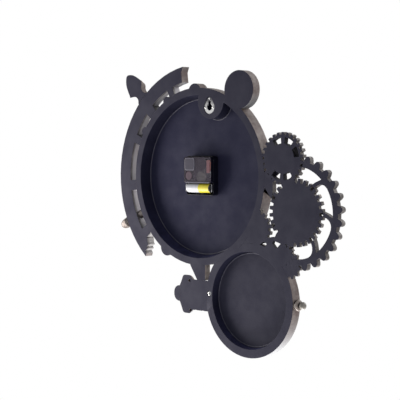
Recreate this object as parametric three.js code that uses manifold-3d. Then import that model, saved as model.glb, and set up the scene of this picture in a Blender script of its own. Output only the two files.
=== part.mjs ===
// A gear wall clock: flat-backed castings round a dished case, with a quartz movement and three hands.
// Lengths are in millimetres. +Z is up, the dial faces -Y and the back of every casting lies on Y = 0.
// The origin is the nail's seat at the top of the keyhole slot. Angles are seen from the dial side.
import * as THREE from 'three';
import { mergeVertices } from 'three/addons/utils/BufferGeometryUtils.js';
import Module from 'manifold-3d';

// Clearances and facets
const GAP = 0.3;
const FIT = 0.15;
const ARC_STEP = 5;
const BIG_FACETS = 72;
const MID_FACETS = 36;
const FINE_FACETS = 12;

// Main case: a round dish open to the rear, with lugs on its rim and a hanger pad in its recess
const CASE_R = 133;
const CASE_T = 19.5;
const CASE_RIM = 11;
const CASE_FLOOR = 2.2;
const CASE_DRAFT = 3.5;
const LUG_R = 13;
const LUG_T = 16;
const LUG_INSET = 6.5;
const LUG_ANGLES = [87.7, -59.6];
const PAD_R = 26;
const PAD_INSET = 21;
const PAD_SIDE = -28;

// Keyhole hanger: the nail seats at the top of the slot
const NAIL_SIDE = -25;
const NAIL_INSET = 20;
const SLOT_HALF = 2.3;
const KEYHOLE_R = 5;
const KEYHOLE_DROP = 9.5;
const HANGER_R = 10.2;
const HANGER_TOP_R = 5.5;
const HANGER_T = 1;
const HANGER_SUNK = 0.8;
const NAIL_ROOM = 9;
const HANGER_SCREW_OUT = 7.6;
const HANGER_SCREW_R = 1.9;
const HANGER_SCREW_SHANK_R = 0.9;
const HANGER_SCREW_LENGTH = 6.5;

// Slotted arc band on feet along the case rim
const BAND_GAP = 12;
const BAND_W = 23;
const BAND_T = 14.5;
const BAND_FEET = [[64.2, 69], [41.5, 48.7], [20.8, 26.3], [-9.5, -3], [-41.5, -35]];
const BAND_TOP_END = [[1, 79.8], [0.66, 78.1], [0.3, 77.8], [0, 77.6]];
const BAND_LOW_END = [[0, -42.4], [0.2, -44.6], [0.22, -45.7], [0.46, -45.4], [0.49, -46.7], [0.74, -46.4],
  [0.78, -47.9], [1, -48.6]];

// Finial on the band
const FINIAL_ANGLE = 45.5;
const FINIAL_T = 10;
const FINIAL_LENGTH = 50;
const FINIAL_W = 36.4;
const FINIAL_CURVE = [[0, 0.69], [0.1, 0.45], [0.24, 0.48], [0.34, 0.77], [0.4, 1], [0.47, 0.945],
  [0.68, 0.77], [0.86, 0.51]];

// Tie rod through the band, with its dome knob
const ROD_ANGLE = -25.3;
const ROD_R = 4.8;
const ROD_COLLAR_R = 8;
const ROD_COLLAR_T = 6.7;
const DOME_R = 7.8;
const DOME_H = 14.5;

// Ear case on the rim, with a small gauge on its front
const EAR_R = 28;
const EAR_T = 15;
const EAR_LAP = 8.5;
const EAR_ANGLE = 123.2;

// Ornamental gears, flush at the back
const BIG_TIP = 81.5;
const BIG_ROOT = 73.8;
const BIG_RIM = 65;
const BIG_T = 8.4;
const BIG_TEETH = 26;
const BIG_PHASE = -5.1;
const BIG_LAP = 18.2;
const BIG_ANGLE = 194;
const SPOKES = 7;
const SPOKE_W = 6.2;
const SPOKE_ANGLE = 132.9;
const SPOKE_SLANT = 0.45;
const SPOKE_MEAN_R = 58;
const HUB_WEB_R = 40;
const WINDOW_ROUND = 10;
const MIDDLE_TIP = 48;
const MIDDLE_ROOT = 42;
const MIDDLE_T = 6.2;
const MIDDLE_TEETH = 28;
const MIDDLE_PHASE = 7.4;
const MIDDLE_BOSS_R = 14;
const MIDDLE_CAP_R = 19;
const SMALL_TIP = 37.5;
const SMALL_ROOT = 33.4;
const SMALL_T = 5.5;
const SMALL_TEETH = 26;
const SMALL_PHASE = 8;
const SMALL_LAP = 2.2;
const SMALL_ANGLE = 170.4;
const SMALL_WINDOWS = 8;
const SMALL_WINDOW_IN = 21.5;
const SMALL_WINDOW_OUT = 30.5;
const SMALL_WINDOW_ANGLE = 114.5;
const SMALL_WINDOW_SPAN = 30;
const SMALL_BLIND = [2, 5, 6];
const SMALL_CAP_R = 20.5;
const IDLER_TIP = 28;
const IDLER_ROOT = 24;
const IDLER_TEETH = 17;
const IDLER_REACH = 4.9;
const IDLER_ANGLE = 212;
const PINION_TIP = 13.6;
const PINION_ROOT = 10.4;
const PINION_TEETH = 10;
const PINION_ANGLE = 285.8;
const MIDDLE_FILLED = [[57, 84], [277, 318]];
const SMALL_FILLED = [[232, 268]];
const PINION_FILLED = [[-95, 92]];
const TOOTH_FOOT = 1.5;
const CAP_STEM_R = 3;
const CAP_H = 5;

// Webs that tie the gears to the cases: x, z from the small gear and from the idler
const UPPER_WEB = [[40, -18], [29, -20], [20, -27], [17.5, -33], [17, -48], [18, -56], [22, -54],
  [30, -43], [35, -40]];
const LOWER_WEB = [[5, -19], [-19, -13], [-30, -10], [-35, -10.4], [-40, -3], [-55, -12], [-55, -34],
  [-51, -51], [-25, -43], [4, -34]];

// Holes in the lower web: x, z from the big gear and from a point on the lower case's rim
const GEAR_HOLE = [[40.2, -40.8], [27.4, -44.5], [33.5, -50.5], [36, -51.6], [42.2, -45]];
const RIM_HOLE = [[3.7, 3.2], [-1.8, 7.2], [-6.3, 7.2], [-8.8, 4.2], [-5.3, 0.7]];
const RIM_HOLE_ANGLE = 108.2;

// Lower case with its gauge, crown and rim screw
const LOW_R = 83.5;
const LOW_T = 16.4;
const LOW_RIM = 12.5;
const LOW_RECESS = 11.5;
const LOW_FLOOR_SKIN = 1.5;
const LOW_DRAFT = 1.5;
const LOW_LAP = 11.4;
const LOW_ANGLE = 240;
const CROWN_COLLAR_R = 8;
const CROWN_COLLAR_T = 6.5;
const CROWN_BALL_R = 5.6;
const CROWN_BALL_L = 9.2;
const RIM_SCREW_R = 3.6;
const RIM_SCREW_ANGLE = 3;
const RIM_SCREW_SHANK_R = 1.6;
const RIM_SCREW_LENGTH = 8;
const RIM_SCREW_HEAD_T = 1.8;

// Gauges: bezel width, height and dial thickness, shared by the ear and the lower case
const GAUGE_DIAL_T = 0.9;
const GAUGE_PIN_R = 1.6;
const POINTER_T = 0.8;
const GAUGE_CLEAR = 2;
const EAR_BEZEL_W = 4.5;
const EAR_BEZEL_H = 4;
const LOW_BEZEL_W = 11;
const LOW_BEZEL_H = 6;

// Link strap and valve ornament beside the lower case
const STRAP_T = 11;
const STRAP_TOP_W = 31;
const STRAP_LOW_W = 17;
const STRAP_INSET = 2;
const VALVE_BODY_R = 23;
const VALVE_BODY_L = 27;
const VALVE_WHEEL_R = 29;
const VALVE_WHEEL_L = 28;
const VALVE_CAP_R = 12;
const VALVE_CAP_L = 12;
const VALVE_FLAT = 0.5;

// Front of the main case: dial, bezel and the stack that clamps the movement
const DIAL_T = 1;
const BEZEL_R = 120;
const BEZEL_W = 14;
const BEZEL_H = 13;
const SHANK_R = 4;
const SHANK_BORE_R = 2.8;
const WASHER_R = 9;
const WASHER_T = 0.6;
const NUT_R = 7.5;
const NUT_T = 2.6;
const GASKET_R = 12;
const GASKET_T = 0.8;

// Hands
const HAND_T = 0.8;
const HAND_STEP = 1;
const HOUR_LENGTH = 60;
const MINUTE_LENGTH = 90;
const SECOND_LENGTH = 94;
const SECOND_TAIL = 30;
const HOUR_W = 11;
const MINUTE_W = 8.5;
const SECOND_W = 2.4;
const MINUTE_SHOWN = 60;
const HOUR_SHOWN = 300 + MINUTE_SHOWN / 12;

// Quartz movement: a square box with the battery bay below the train
const BOX_WALL = 1.2;
const BOX_FRONT_T = 9;
const BOX_REAR_T = 5.7;
const BAY_FLOOR = 0.8;
const BATTERY_R = 6.95;
const BATTERY_L = 49;
const BATTERY_DROP = 17.1;
const BAY_ROOM = 2.75;
const BAY_END_ROOM = 0.9;
const NUB_R = 2.75;
const NUB_L = 1.2;
const CONTACT_T = 0.5;
const CONTACT_H = 11;
const BOARD_W = 13.5;
const BOARD_T = 1;
const COIL_R = 3.4;
const COIL_FLANGE_R = 4.2;
const COIL_FOOT = 8.5;
const CORE_R = 1;
const STATOR_T = 1;
const STATOR_R = 5;
const STATOR_ARM = 1.3;
const MAGNET_R = 2.4;
const MAGNET_T = 2.4;
const ARBOR_R = 0.45;
const PIVOT_DEPTH = 0.6;
const HOUR_TUBE_R = 2.5;
const MINUTE_TUBE_R = 1.5;
const SECOND_ARBOR_R = 0.5;
const TUBE_SLACK = 0.28;
const KNOB_R = 6.6;
const KNOB_T = 2.4;
const KNOB_SHAFT_R = 1.4;

// Train: tooth counts, centre distances and directions from the hands' axis
const ROTOR_LEAVES = 6;
const INTER_TEETH = 30;
const INTER_LEAVES = 6;
const SECONDS_TEETH = 36;
const SECONDS_LEAVES = 6;
const THIRD_TEETH = 48;
const THIRD_LEAVES = 6;
const CENTRE_TEETH = 45;
const CANNON_LEAVES = 10;
const MOTION_TEETH = 30;
const MOTION_LEAVES = 8;
const HOUR_TEETH = 32;
const INTER_REACH = 8.95;
const INTER_ANGLE = 182;
const ROTOR_REACH = 7;
const ROTOR_ANGLE = 155;
const THIRD_REACH = 8.9;
const THIRD_ANGLE = 100;
const MOTION_REACH = 9.5;
const MOTION_ANGLE = 20;
const KNOB_ANGLE = -12;
const ADDENDUM = 0.75;
const DEDENDUM = 1.1;
const WHEEL_T = 1;
const LAYER_STEP = 1.65;
const FIRST_LAYER = 1.6;

// Tooth profiles: share of the pitch against share of the tooth's height
const ROUND_TOOTH = [[-0.32, 0], [-0.25, 0.5], [-0.16, 0.87], [-0.05, 1], [0.05, 1], [0.16, 0.87],
  [0.25, 0.5], [0.32, 0]];
const BLOCK_TOOTH = [[-0.3, 0], [-0.23, 1], [0.23, 1], [0.3, 0]];
const FINE_TOOTH = [[-0.28, 0], [-0.09, 1], [0.09, 1], [0.28, 0]];

// Places worked out from the sizes above, seen from the dial side with the hands' axis at 0, 0
const rad = (degrees) => (degrees * Math.PI) / 180;
const polar = (radius, degrees) => [radius * Math.cos(rad(degrees)), radius * Math.sin(rad(degrees))];
const shifted = ([x, z], [dx, dz]) => [x + dx, z + dz];
const RECESS_R = CASE_R - CASE_RIM;
const RECESS_T = CASE_T - CASE_FLOOR;
const NAIL_AT = [NAIL_SIDE, CASE_R - NAIL_INSET];
const PAD_AT = [PAD_SIDE, CASE_R - PAD_INSET];
const BAND_IN = CASE_R + BAND_GAP;
const BAND_OUT = BAND_IN + BAND_W;
const ROD_Y = -ROD_COLLAR_R - FIT;
const EAR_AT = polar(CASE_R + EAR_R - EAR_LAP, EAR_ANGLE);
const BIG_AT = polar(CASE_R + BIG_TIP - BIG_LAP, BIG_ANGLE);
const SMALL_AT = polar(CASE_R + SMALL_TIP - SMALL_LAP, SMALL_ANGLE);
const IDLER_AT = polar(CASE_R + IDLER_REACH, IDLER_ANGLE);
const PINION_AT = shifted(BIG_AT, polar(MIDDLE_TIP + PINION_TIP + GAP, PINION_ANGLE));
const LOW_AT = polar(CASE_R + LOW_R - LOW_LAP, LOW_ANGLE);
const CROWN_Y = -CROWN_COLLAR_R - FIT;
const VALVE_ROOT = LOW_AT[0] + LOW_R;
const EAR_BEZEL_R = EAR_R - EAR_LAP - GAUGE_CLEAR;
const LOW_BEZEL_R = LOW_R - LOW_LAP - GAUGE_CLEAR;
const DIAL_Y = -CASE_T - GAP;
const WASHER_Y = DIAL_Y - DIAL_T - GAP;
const NUT_Y = WASHER_Y - WASHER_T - GAP;
const SHANK_END = NUT_Y - NUT_T - GAP;
const HOUR_Y = SHANK_END - HAND_STEP;
const MINUTE_Y = HOUR_Y - HAND_T - HAND_STEP;
const SECOND_Y = MINUTE_Y - HAND_T - HAND_STEP;
const GASKET_Y = -RECESS_T + GAP + GASKET_T;
const BOX_Y = GASKET_Y + GAP;
const BOX_W = BATTERY_L + NUB_L + 2 * (BOX_WALL + GAP + CONTACT_T + BAY_END_ROOM);
const BOX_HALF = BOX_W / 2;
const BOX_IN = BOX_HALF - BOX_WALL;
const BOX_LOW = -BATTERY_DROP - BATTERY_R - BAY_ROOM - BOX_WALL;
const BOX_TOP = BOX_LOW + BOX_W;
const BOX_TOP_IN = BOX_TOP - BOX_WALL;
const COIL_SIDE = -(BOX_IN - COIL_FLANGE_R - 2 * GAP);
const COIL_TOP = BOX_TOP_IN - STATOR_ARM - 2 * GAP;
const BAY_TOP = -BATTERY_DROP + BATTERY_R + GAP;
const TRAIN_FLOOR = BAY_TOP + BOX_WALL;
const REAR_Y = BOX_FRONT_T + GAP;
const REAR_IN = REAR_Y + BOX_REAR_T - BOX_WALL;
const INTER_AT = polar(INTER_REACH, INTER_ANGLE);
const ROTOR_AT = shifted(INTER_AT, polar(ROTOR_REACH, ROTOR_ANGLE));
const THIRD_AT = polar(THIRD_REACH, THIRD_ANGLE);
const MOTION_AT = polar(MOTION_REACH, MOTION_ANGLE);
const KNOB_AT = shifted(MOTION_AT, polar(MOTION_REACH, KNOB_ANGLE));
const KNOB_CUP_R = KNOB_R + GAP + BOX_WALL;
const layer = (index) => FIRST_LAYER + index * LAYER_STEP;

// Solids: closed meshes that can be joined and cut
const wasm = await Module();
wasm.setup();

function solidFrom(geometry) {
  const bare = geometry.clone();
  bare.deleteAttribute('normal');
  bare.deleteAttribute('uv');
  const welded = mergeVertices(bare);
  const at = welded.getAttribute('position');
  const index = welded.getIndex().array;
  const faces = [];
  let volume = 0;
  const [a, b, c] = [new THREE.Vector3(), new THREE.Vector3(), new THREE.Vector3()];
  for (let i = 0; i < index.length; i += 3) {
    const [p, q, r] = [index[i], index[i + 1], index[i + 2]];
    if (p === q || q === r || r === p) continue;
    faces.push([p, q, r]);
    a.fromBufferAttribute(at, p);
    b.fromBufferAttribute(at, q);
    c.fromBufferAttribute(at, r);
    volume += a.dot(b.cross(c));
  }
  const triVerts = Uint32Array.from(faces.flatMap(([p, q, r]) => (volume < 0 ? [p, r, q] : [p, q, r])));
  const vertProperties = Float32Array.from(at.array);
  return new wasm.Manifold(new wasm.Mesh({ numProp: 3, vertProperties, triVerts }));
}

function geometryFrom(solid) {
  const mesh = solid.getMesh();
  const geometry = new THREE.BufferGeometry();
  geometry.setAttribute('position', new THREE.BufferAttribute(Float32Array.from(mesh.vertProperties), 3));
  geometry.setIndex(new THREE.BufferAttribute(Uint32Array.from(mesh.triVerts), 1));
  geometry.computeVertexNormals();
  return geometry;
}

const joined = (first, ...rest) => rest.reduce((sum, solid) => sum.add(solid), first);
const cut = (first, ...tools) => tools.reduce((left, tool) => left.subtract(tool), first);

// Basic forms. Discs and rings lie about the Y axis; y0 is the rear face and y1 the front one.
function disc(radius, y0, y1, facets = MID_FACETS, [x, z] = [0, 0]) {
  const form = new THREE.CylinderGeometry(radius, radius, Math.abs(y0 - y1), facets);
  return solidFrom(form.translate(x, (y0 + y1) / 2, z));
}

function turned(profile, facets = MID_FACETS, place = (form) => form) {
  const points = profile.map(([radius, y]) => new THREE.Vector2(radius, y));
  return solidFrom(place(new THREE.LatheGeometry(points, facets)));
}

function ring(inner, outer, y0, y1, facets = MID_FACETS) {
  return turned([[inner, y0], [outer, y0], [outer, y1], [inner, y1], [inner, y0]], facets);
}

function block(x0, x1, y0, y1, z0, z1) {
  const form = new THREE.BoxGeometry(Math.abs(x1 - x0), Math.abs(y1 - y0), Math.abs(z1 - z0));
  return solidFrom(form.translate((x0 + x1) / 2, (y0 + y1) / 2, (z0 + z1) / 2));
}

function plate(shape, y0, y1, [x, z] = [0, 0]) {
  const depth = Math.abs(y0 - y1);
  const form = new THREE.ExtrudeGeometry(shape, { depth, bevelEnabled: false, curveSegments: 5 });
  return solidFrom(form.rotateX(Math.PI / 2).translate(x, Math.max(y0, y1), z));
}

function polygon(points) {
  return new THREE.Shape(points.map(([x, z]) => new THREE.Vector2(x, z)));
}

// A closed outline, run anticlockwise, moved outwards by the same distance all round
function grown(points, by) {
  const edge = ([x0, z0], [x1, z1]) => {
    const length = Math.hypot(x1 - x0, z1 - z0);
    return [(x1 - x0) / length, (z1 - z0) / length];
  };
  return points.map((point, i) => {
    const before = edge(points[(i + points.length - 1) % points.length], point);
    const after = edge(point, points[(i + 1) % points.length]);
    const lean = 1 + before[0] * after[0] + before[1] * after[1];
    const [outX, outZ] = [(before[1] + after[1]) / lean, -(before[0] + after[0]) / lean];
    return [point[0] + by * outX, point[1] + by * outZ];
  });
}

// Points along a circular stretch, in degrees, ends included
function arc(radius, from, to, step = ARC_STEP) {
  const count = Math.max(1, Math.ceil(Math.abs(to - from) / step));
  return Array.from({ length: count + 1 }, (_, i) => polar(radius, from + ((to - from) * i) / count));
}

function gearPoints(teeth, tip, root, profile, phase = 0) {
  const pitch = 360 / teeth;
  const tooth = (i) => profile.map(([along, up]) =>
    polar(root + (tip - root) * up, phase + (i + along) * pitch));
  return Array.from({ length: teeth }, (_, i) => tooth(i)).flat();
}

// Looks: colour, roughness and metalness of each finish
const CHARCOAL = [0x3b3a40, 0.75, 0.05];
const BRONZE = [0x8b7a6f, 0.45, 0.7];
const CHROME = [0xd8d8d8, 0.15, 1];
const STEEL = [0xb0b0b4, 0.35, 0.9];
const BRASS = [0xb8924a, 0.35, 0.9];
const COPPER = [0xb26a3c, 0.4, 0.9];
const IVORY = [0xe6dcc4, 0.7, 0];
const BLACK = [0x17171a, 0.5, 0.1];
const SMOKE = [0x4a464e, 0.4, 0];
const RUBBER = [0x202022, 0.9, 0];
const GREEN = [0x2f5b3c, 0.6, 0];
const NYLON = [0xe9e5da, 0.5, 0];
const MAUVE = [0x8f7078, 0.5, 0];
const YELLOW = [0xe8d24a, 0.45, 0.1];
const RED = [0x9c2f24, 0.5, 0.1];

function add(parent, name, solid, [color, roughness, metalness], [x, y, z] = [0, 0, 0]) {
  const look = new THREE.MeshStandardMaterial({ color, roughness, metalness });
  const mesh = new THREE.Mesh(geometryFrom(solid), look);
  mesh.name = name;
  mesh.position.set(x, y, z);
  parent.add(mesh);
  return mesh;
}

// The main casting and what hangs it
function mainCase() {
  const lugs = LUG_ANGLES.map((angle) =>
    disc(LUG_R, 0, -LUG_T, MID_FACETS, polar(CASE_R - LUG_INSET, angle)));
  const body = joined(disc(CASE_R, 0, -CASE_T, BIG_FACETS), ...lugs);
  const floorR = RECESS_R - CASE_DRAFT;
  const dish = [[0, 1], [RECESS_R, 1], [RECESS_R, 0], [floorR, -RECESS_T], [0, -RECESS_T]];
  const hollow = turned(dish, BIG_FACETS);
  const pad = disc(PAD_R, 2, -CASE_T, MID_FACETS, PAD_AT);
  const shank = disc(SHANK_R + GAP, 0, -CASE_T - 1, FINE_FACETS);
  return cut(body, hollow.subtract(pad), shank, hangerPocket());
}

function hangerOutline(grow) {
  const top = arc(HANGER_TOP_R + grow, 15, 165, 15);
  const low = arc(HANGER_R + grow, 165, 375, 15).map(([x, z]) => [x, z - KEYHOLE_DROP]);
  return polygon([...top, ...low]);
}

function keyholeOutline(slot, hole) {
  const half = (Math.asin(slot / hole) * 180) / Math.PI;
  const top = arc(slot, 0, 180, 22.5).map(([x, z]) => [x, z - SLOT_HALF]);
  const low = arc(hole, 90 + half, 450 - half, 20).map(([x, z]) => [x, z - KEYHOLE_DROP]);
  return polygon([...top, ...low]);
}

const HANGER_SCREWS = [[-HANGER_SCREW_OUT, -KEYHOLE_DROP], [HANGER_SCREW_OUT, -KEYHOLE_DROP]];

function hangerPocket() {
  const seat = plate(hangerOutline(GAP), 1, -HANGER_SUNK - HANGER_T - GAP, NAIL_AT);
  const room = plate(keyholeOutline(SLOT_HALF + GAP, KEYHOLE_R + GAP), 1, -NAIL_ROOM, NAIL_AT);
  const deep = -HANGER_SCREW_LENGTH - HANGER_SUNK;
  const pilots = HANGER_SCREWS.map((at) =>
    disc(HANGER_SCREW_SHANK_R + GAP, 1, deep, FINE_FACETS, shifted(NAIL_AT, at)));
  return joined(seat, room, ...pilots);
}

function hangerPlate() {
  const holes = HANGER_SCREWS.map((at) =>
    disc(HANGER_SCREW_SHANK_R + GAP, 1, -HANGER_SUNK - HANGER_T - 1, FINE_FACETS, at));
  const keyhole = plate(keyholeOutline(SLOT_HALF, KEYHOLE_R), 1, -HANGER_SUNK - HANGER_T - 1);
  return cut(plate(hangerOutline(0), -HANGER_SUNK, -HANGER_SUNK - HANGER_T), keyhole, ...holes);
}

function flushScrew(headR, headT, shankR, length) {
  const profile = [[0, -0.1], [headR * 0.6, -0.15], [headR, -headT], [shankR, -headT],
    [shankR, -length], [0, -length]];
  return turned(profile, FINE_FACETS);
}

// The arc band, its finial and its tie rod
function slottedArc() {
  const inner = CASE_R + GAP;
  const endPoint = ([share, angle]) => polar(BAND_IN + BAND_W * share, angle);
  const outerFrom = BAND_LOW_END[BAND_LOW_END.length - 1][1];
  const points = [...arc(BAND_OUT, outerFrom, BAND_TOP_END[0][1]), ...BAND_TOP_END.slice(1).map(endPoint)];
  let angle = BAND_TOP_END[BAND_TOP_END.length - 1][1];
  for (const [from, to] of BAND_FEET) {
    points.push(...arc(BAND_IN, angle, to).slice(1), ...arc(inner, to, from), polar(BAND_IN, from));
    angle = from;
  }
  points.push(...arc(BAND_IN, angle, BAND_LOW_END[0][1]).slice(1));
  points.push(...BAND_LOW_END.slice(1, -1).map(endPoint));
  const bore = disc(ROD_R + GAP, inner - 1, BAND_OUT + 1, FINE_FACETS);
  return plate(polygon(points), 0, -BAND_T).subtract(radialPlace(bore, ROD_ANGLE, ROD_Y));
}

// A solid about the Y axis laid out along a radius of the clock, at depth y
function radialPlace(solid, angle, y) {
  const form = geometryFrom(solid).rotateX(Math.PI / 2).rotateY(rad(90 - angle));
  return solidFrom(form.translate(0, y, 0));
}

function finial() {
  const edge = (side) => FINIAL_CURVE.map(([along, out]) =>
    new THREE.Vector2((side * out * FINIAL_W) / 2, along * FINIAL_LENGTH));
  const right = edge(1);
  const left = edge(-1).reverse();
  const shape = new THREE.Shape();
  shape.moveTo(right[0].x, 0);
  shape.splineThru([...right.slice(1), new THREE.Vector2(0, FINIAL_LENGTH), ...left]);
  const form = new THREE.ExtrudeGeometry(shape, { depth: FINIAL_T, bevelEnabled: false, curveSegments: 3 });
  return solidFrom(form.rotateX(Math.PI / 2));
}

function tieRod() {
  const collar = BAND_OUT + GAP;
  const profile = [[0, CASE_R + GAP], [ROD_R, CASE_R + GAP], [ROD_R, collar], [ROD_COLLAR_R, collar],
    [ROD_COLLAR_R, collar + ROD_COLLAR_T], [0, collar + ROD_COLLAR_T]];
  return radialPlace(turned(profile, FINE_FACETS), ROD_ANGLE, ROD_Y);
}

function domeKnob() {
  const foot = BAND_OUT + ROD_COLLAR_T + 2 * GAP;
  const curve = [[0, 0], [1, 0], [1, 0.2], [0.93, 0.5], [0.72, 0.78], [0.4, 0.94], [0, 1]];
  const profile = curve.map(([out, up]) => [out * DOME_R, foot + up * DOME_H]);
  return radialPlace(turned(profile, FINE_FACETS), ROD_ANGLE, ROD_Y);
}

// Castings that butt against the main case or the lower case are cut back from them
const fromCase = ([x, z]) => disc(CASE_R + GAP, 1, -CASE_T - 1, BIG_FACETS, [-x, -z]);
const fromLow = ([x, z]) => disc(LOW_R + GAP, 1, -CASE_T - 1, BIG_FACETS, shifted(LOW_AT, [-x, -z]));

function earCase() {
  const pin = disc(GAUGE_PIN_R + GAP, -EAR_T / 2, -EAR_T - 1, FINE_FACETS);
  return cut(disc(EAR_R, 0, -EAR_T, MID_FACETS), fromCase(EAR_AT), pin);
}

// Ornamental gears: the big gear is rebated to half its thickness where the others lie in its back
function spokeEdge(radius, spoke, side) {
  const middle = SPOKE_ANGLE + (spoke * 360) / SPOKES + SPOKE_SLANT * (radius - SPOKE_MEAN_R);
  return middle + (side * SPOKE_W * 90) / (Math.PI * radius);
}

function spokeWindow(spoke) {
  const inner = HUB_WEB_R;
  const shoulder = BIG_RIM - WINDOW_ROUND;
  const start = spokeEdge(BIG_RIM, spoke, 1) + (WINDOW_ROUND * 180) / (Math.PI * BIG_RIM);
  const path = polygon(arc(BIG_RIM, start, spokeEdge(BIG_RIM, spoke + 1, -1), 5));
  path.lineTo(...polar(shoulder, spokeEdge(shoulder, spoke + 1, -1)));
  path.lineTo(...polar(inner, spokeEdge(inner, spoke + 1, -1)));
  const hub = arc(inner, spokeEdge(inner, spoke + 1, -1), spokeEdge(inner, spoke, 1), 12);
  hub.slice(1).forEach((point) => path.lineTo(...point));
  path.lineTo(...polar(shoulder, spokeEdge(shoulder, spoke, 1)));
  path.quadraticCurveTo(...polar(BIG_RIM, spokeEdge(BIG_RIM, spoke, 1)), ...polar(BIG_RIM, start));
  return path;
}

function bigGear() {
  const outline = polygon(gearPoints(BIG_TEETH, BIG_TIP, BIG_ROOT, ROUND_TOOTH, 180 + BIG_PHASE));
  for (let spoke = 0; spoke < SPOKES; spoke += 1) outline.holes.push(spokeWindow(spoke));
  const rebate = (radius, deep, [x, z]) =>
    disc(radius + GAP, 1, -deep - GAP, MID_FACETS, [x - BIG_AT[0], z - BIG_AT[1]]);
  const [smallX, smallZ] = [SMALL_AT[0] - BIG_AT[0], SMALL_AT[1] - BIG_AT[1]];
  const webRoom = (web, [x, z]) =>
    plate(polygon(grown(web, GAP)), 1, -SMALL_T - GAP, [x - BIG_AT[0], z - BIG_AT[1]]);
  return cut(plate(outline, 0, -BIG_T), fromCase(BIG_AT), fromLow(BIG_AT),
    rebate(MIDDLE_TIP, MIDDLE_T, BIG_AT), rebate(SMALL_TIP, SMALL_T, SMALL_AT),
    rebate(IDLER_TIP, SMALL_T, IDLER_AT), rebate(PINION_TIP, SMALL_T, PINION_AT),
    webRoom(UPPER_WEB, SMALL_AT), webRoom(LOWER_WEB, IDLER_AT),
    disc(MIDDLE_BOSS_R + GAP, 1, -BIG_T - 1, MID_FACETS),
    disc(CAP_STEM_R + GAP, 1, -BIG_T - 1, FINE_FACETS, [smallX, smallZ]));
}

// Sectors, in degrees, in which a gear has no gaps between its teeth because it runs into its neighbour
function filled(sectors, tip, root, deep) {
  const inner = root - TOOTH_FOOT;
  return sectors.map(([from, to]) =>
    plate(polygon([...arc(tip, from, to), ...arc(inner, to, from)]), 0, -deep));
}

function middleGear() {
  const outline = gearPoints(MIDDLE_TEETH, MIDDLE_TIP, MIDDLE_ROOT, BLOCK_TOOTH, MIDDLE_PHASE);
  const teeth = plate(polygon(outline), 0, -MIDDLE_T);
  const boss = disc(MIDDLE_BOSS_R, -MIDDLE_T / 2, -BIG_T, MID_FACETS);
  const stem = disc(CAP_STEM_R + GAP, -MIDDLE_T / 2, -BIG_T - 1, FINE_FACETS);
  return joined(teeth, boss, ...filled(MIDDLE_FILLED, MIDDLE_TIP, MIDDLE_ROOT, MIDDLE_T)).subtract(stem);
}

function smallGear() {
  const outline = polygon(gearPoints(SMALL_TEETH, SMALL_TIP, SMALL_ROOT, BLOCK_TOOTH, SMALL_PHASE));
  for (let i = 0; i < SMALL_WINDOWS; i += 1) {
    if (SMALL_BLIND.includes(i)) continue;
    const middle = SMALL_WINDOW_ANGLE + (i * 360) / SMALL_WINDOWS;
    const [from, to] = [middle - SMALL_WINDOW_SPAN / 2, middle + SMALL_WINDOW_SPAN / 2];
    const outer = arc(SMALL_WINDOW_OUT, from, to, 10);
    outline.holes.push(polygon([...outer, ...arc(SMALL_WINDOW_IN, to, from, 10)]));
  }
  const stem = disc(CAP_STEM_R + GAP, -SMALL_T / 2, -SMALL_T - 1, FINE_FACETS);
  const middle = disc(MIDDLE_TIP + GAP, 1, -BIG_T, MID_FACETS, shifted(BIG_AT, [-SMALL_AT[0], -SMALL_AT[1]]));
  const web = plate(polygon(UPPER_WEB), 0, -SMALL_T);
  const teethless = filled(SMALL_FILLED, SMALL_TIP, SMALL_ROOT, SMALL_T);
  const solid = joined(plate(outline, 0, -SMALL_T), web, ...teethless);
  return cut(solid, fromCase(SMALL_AT), middle, stem);
}

function idlerGear() {
  const outline = polygon(gearPoints(IDLER_TEETH, IDLER_TIP, IDLER_ROOT, BLOCK_TOOTH));
  const away = ([x, z]) => [x - IDLER_AT[0], z - IDLER_AT[1]];
  const middle = disc(MIDDLE_TIP + GAP, 1, -BIG_T, MID_FACETS, away(BIG_AT));
  const pinion = disc(PINION_TIP + GAP, 1, -BIG_T, MID_FACETS, away(PINION_AT));
  const gearHole = plate(polygon(GEAR_HOLE), 1, -BIG_T, away(BIG_AT));
  const onRim = shifted(LOW_AT, polar(LOW_R, RIM_HOLE_ANGLE));
  const rimHole = plate(polygon(RIM_HOLE), 1, -BIG_T, away(onRim));
  const solid = joined(plate(outline, 0, -SMALL_T), plate(polygon(LOWER_WEB), 0, -SMALL_T));
  return cut(solid, fromCase(IDLER_AT), fromLow(IDLER_AT), middle, pinion, gearHole,
    rimHole);
}

function lowerPinion() {
  const outline = polygon(gearPoints(PINION_TEETH, PINION_TIP, PINION_ROOT, BLOCK_TOOTH));
  const teethless = filled(PINION_FILLED, PINION_TIP, PINION_ROOT, SMALL_T);
  const solid = joined(plate(outline, 0, -SMALL_T), ...teethless);
  return cut(solid, fromCase(PINION_AT), fromLow(PINION_AT));
}

// A domed cap whose stem runs back into the gear it holds; seat is the face it lies on
function gearCap(radius, seat, gearT) {
  const front = seat - GAP;
  return turned([[0, -gearT / 2 - GAP], [CAP_STEM_R, -gearT / 2 - GAP], [CAP_STEM_R, front], [radius, front],
    [radius, front - CAP_H * 0.4], [radius * 0.8, front - CAP_H * 0.7], [radius * 0.45, front - CAP_H * 0.7],
    [radius * 0.35, front - CAP_H], [0, front - CAP_H]], FINE_FACETS * 2);
}

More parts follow.
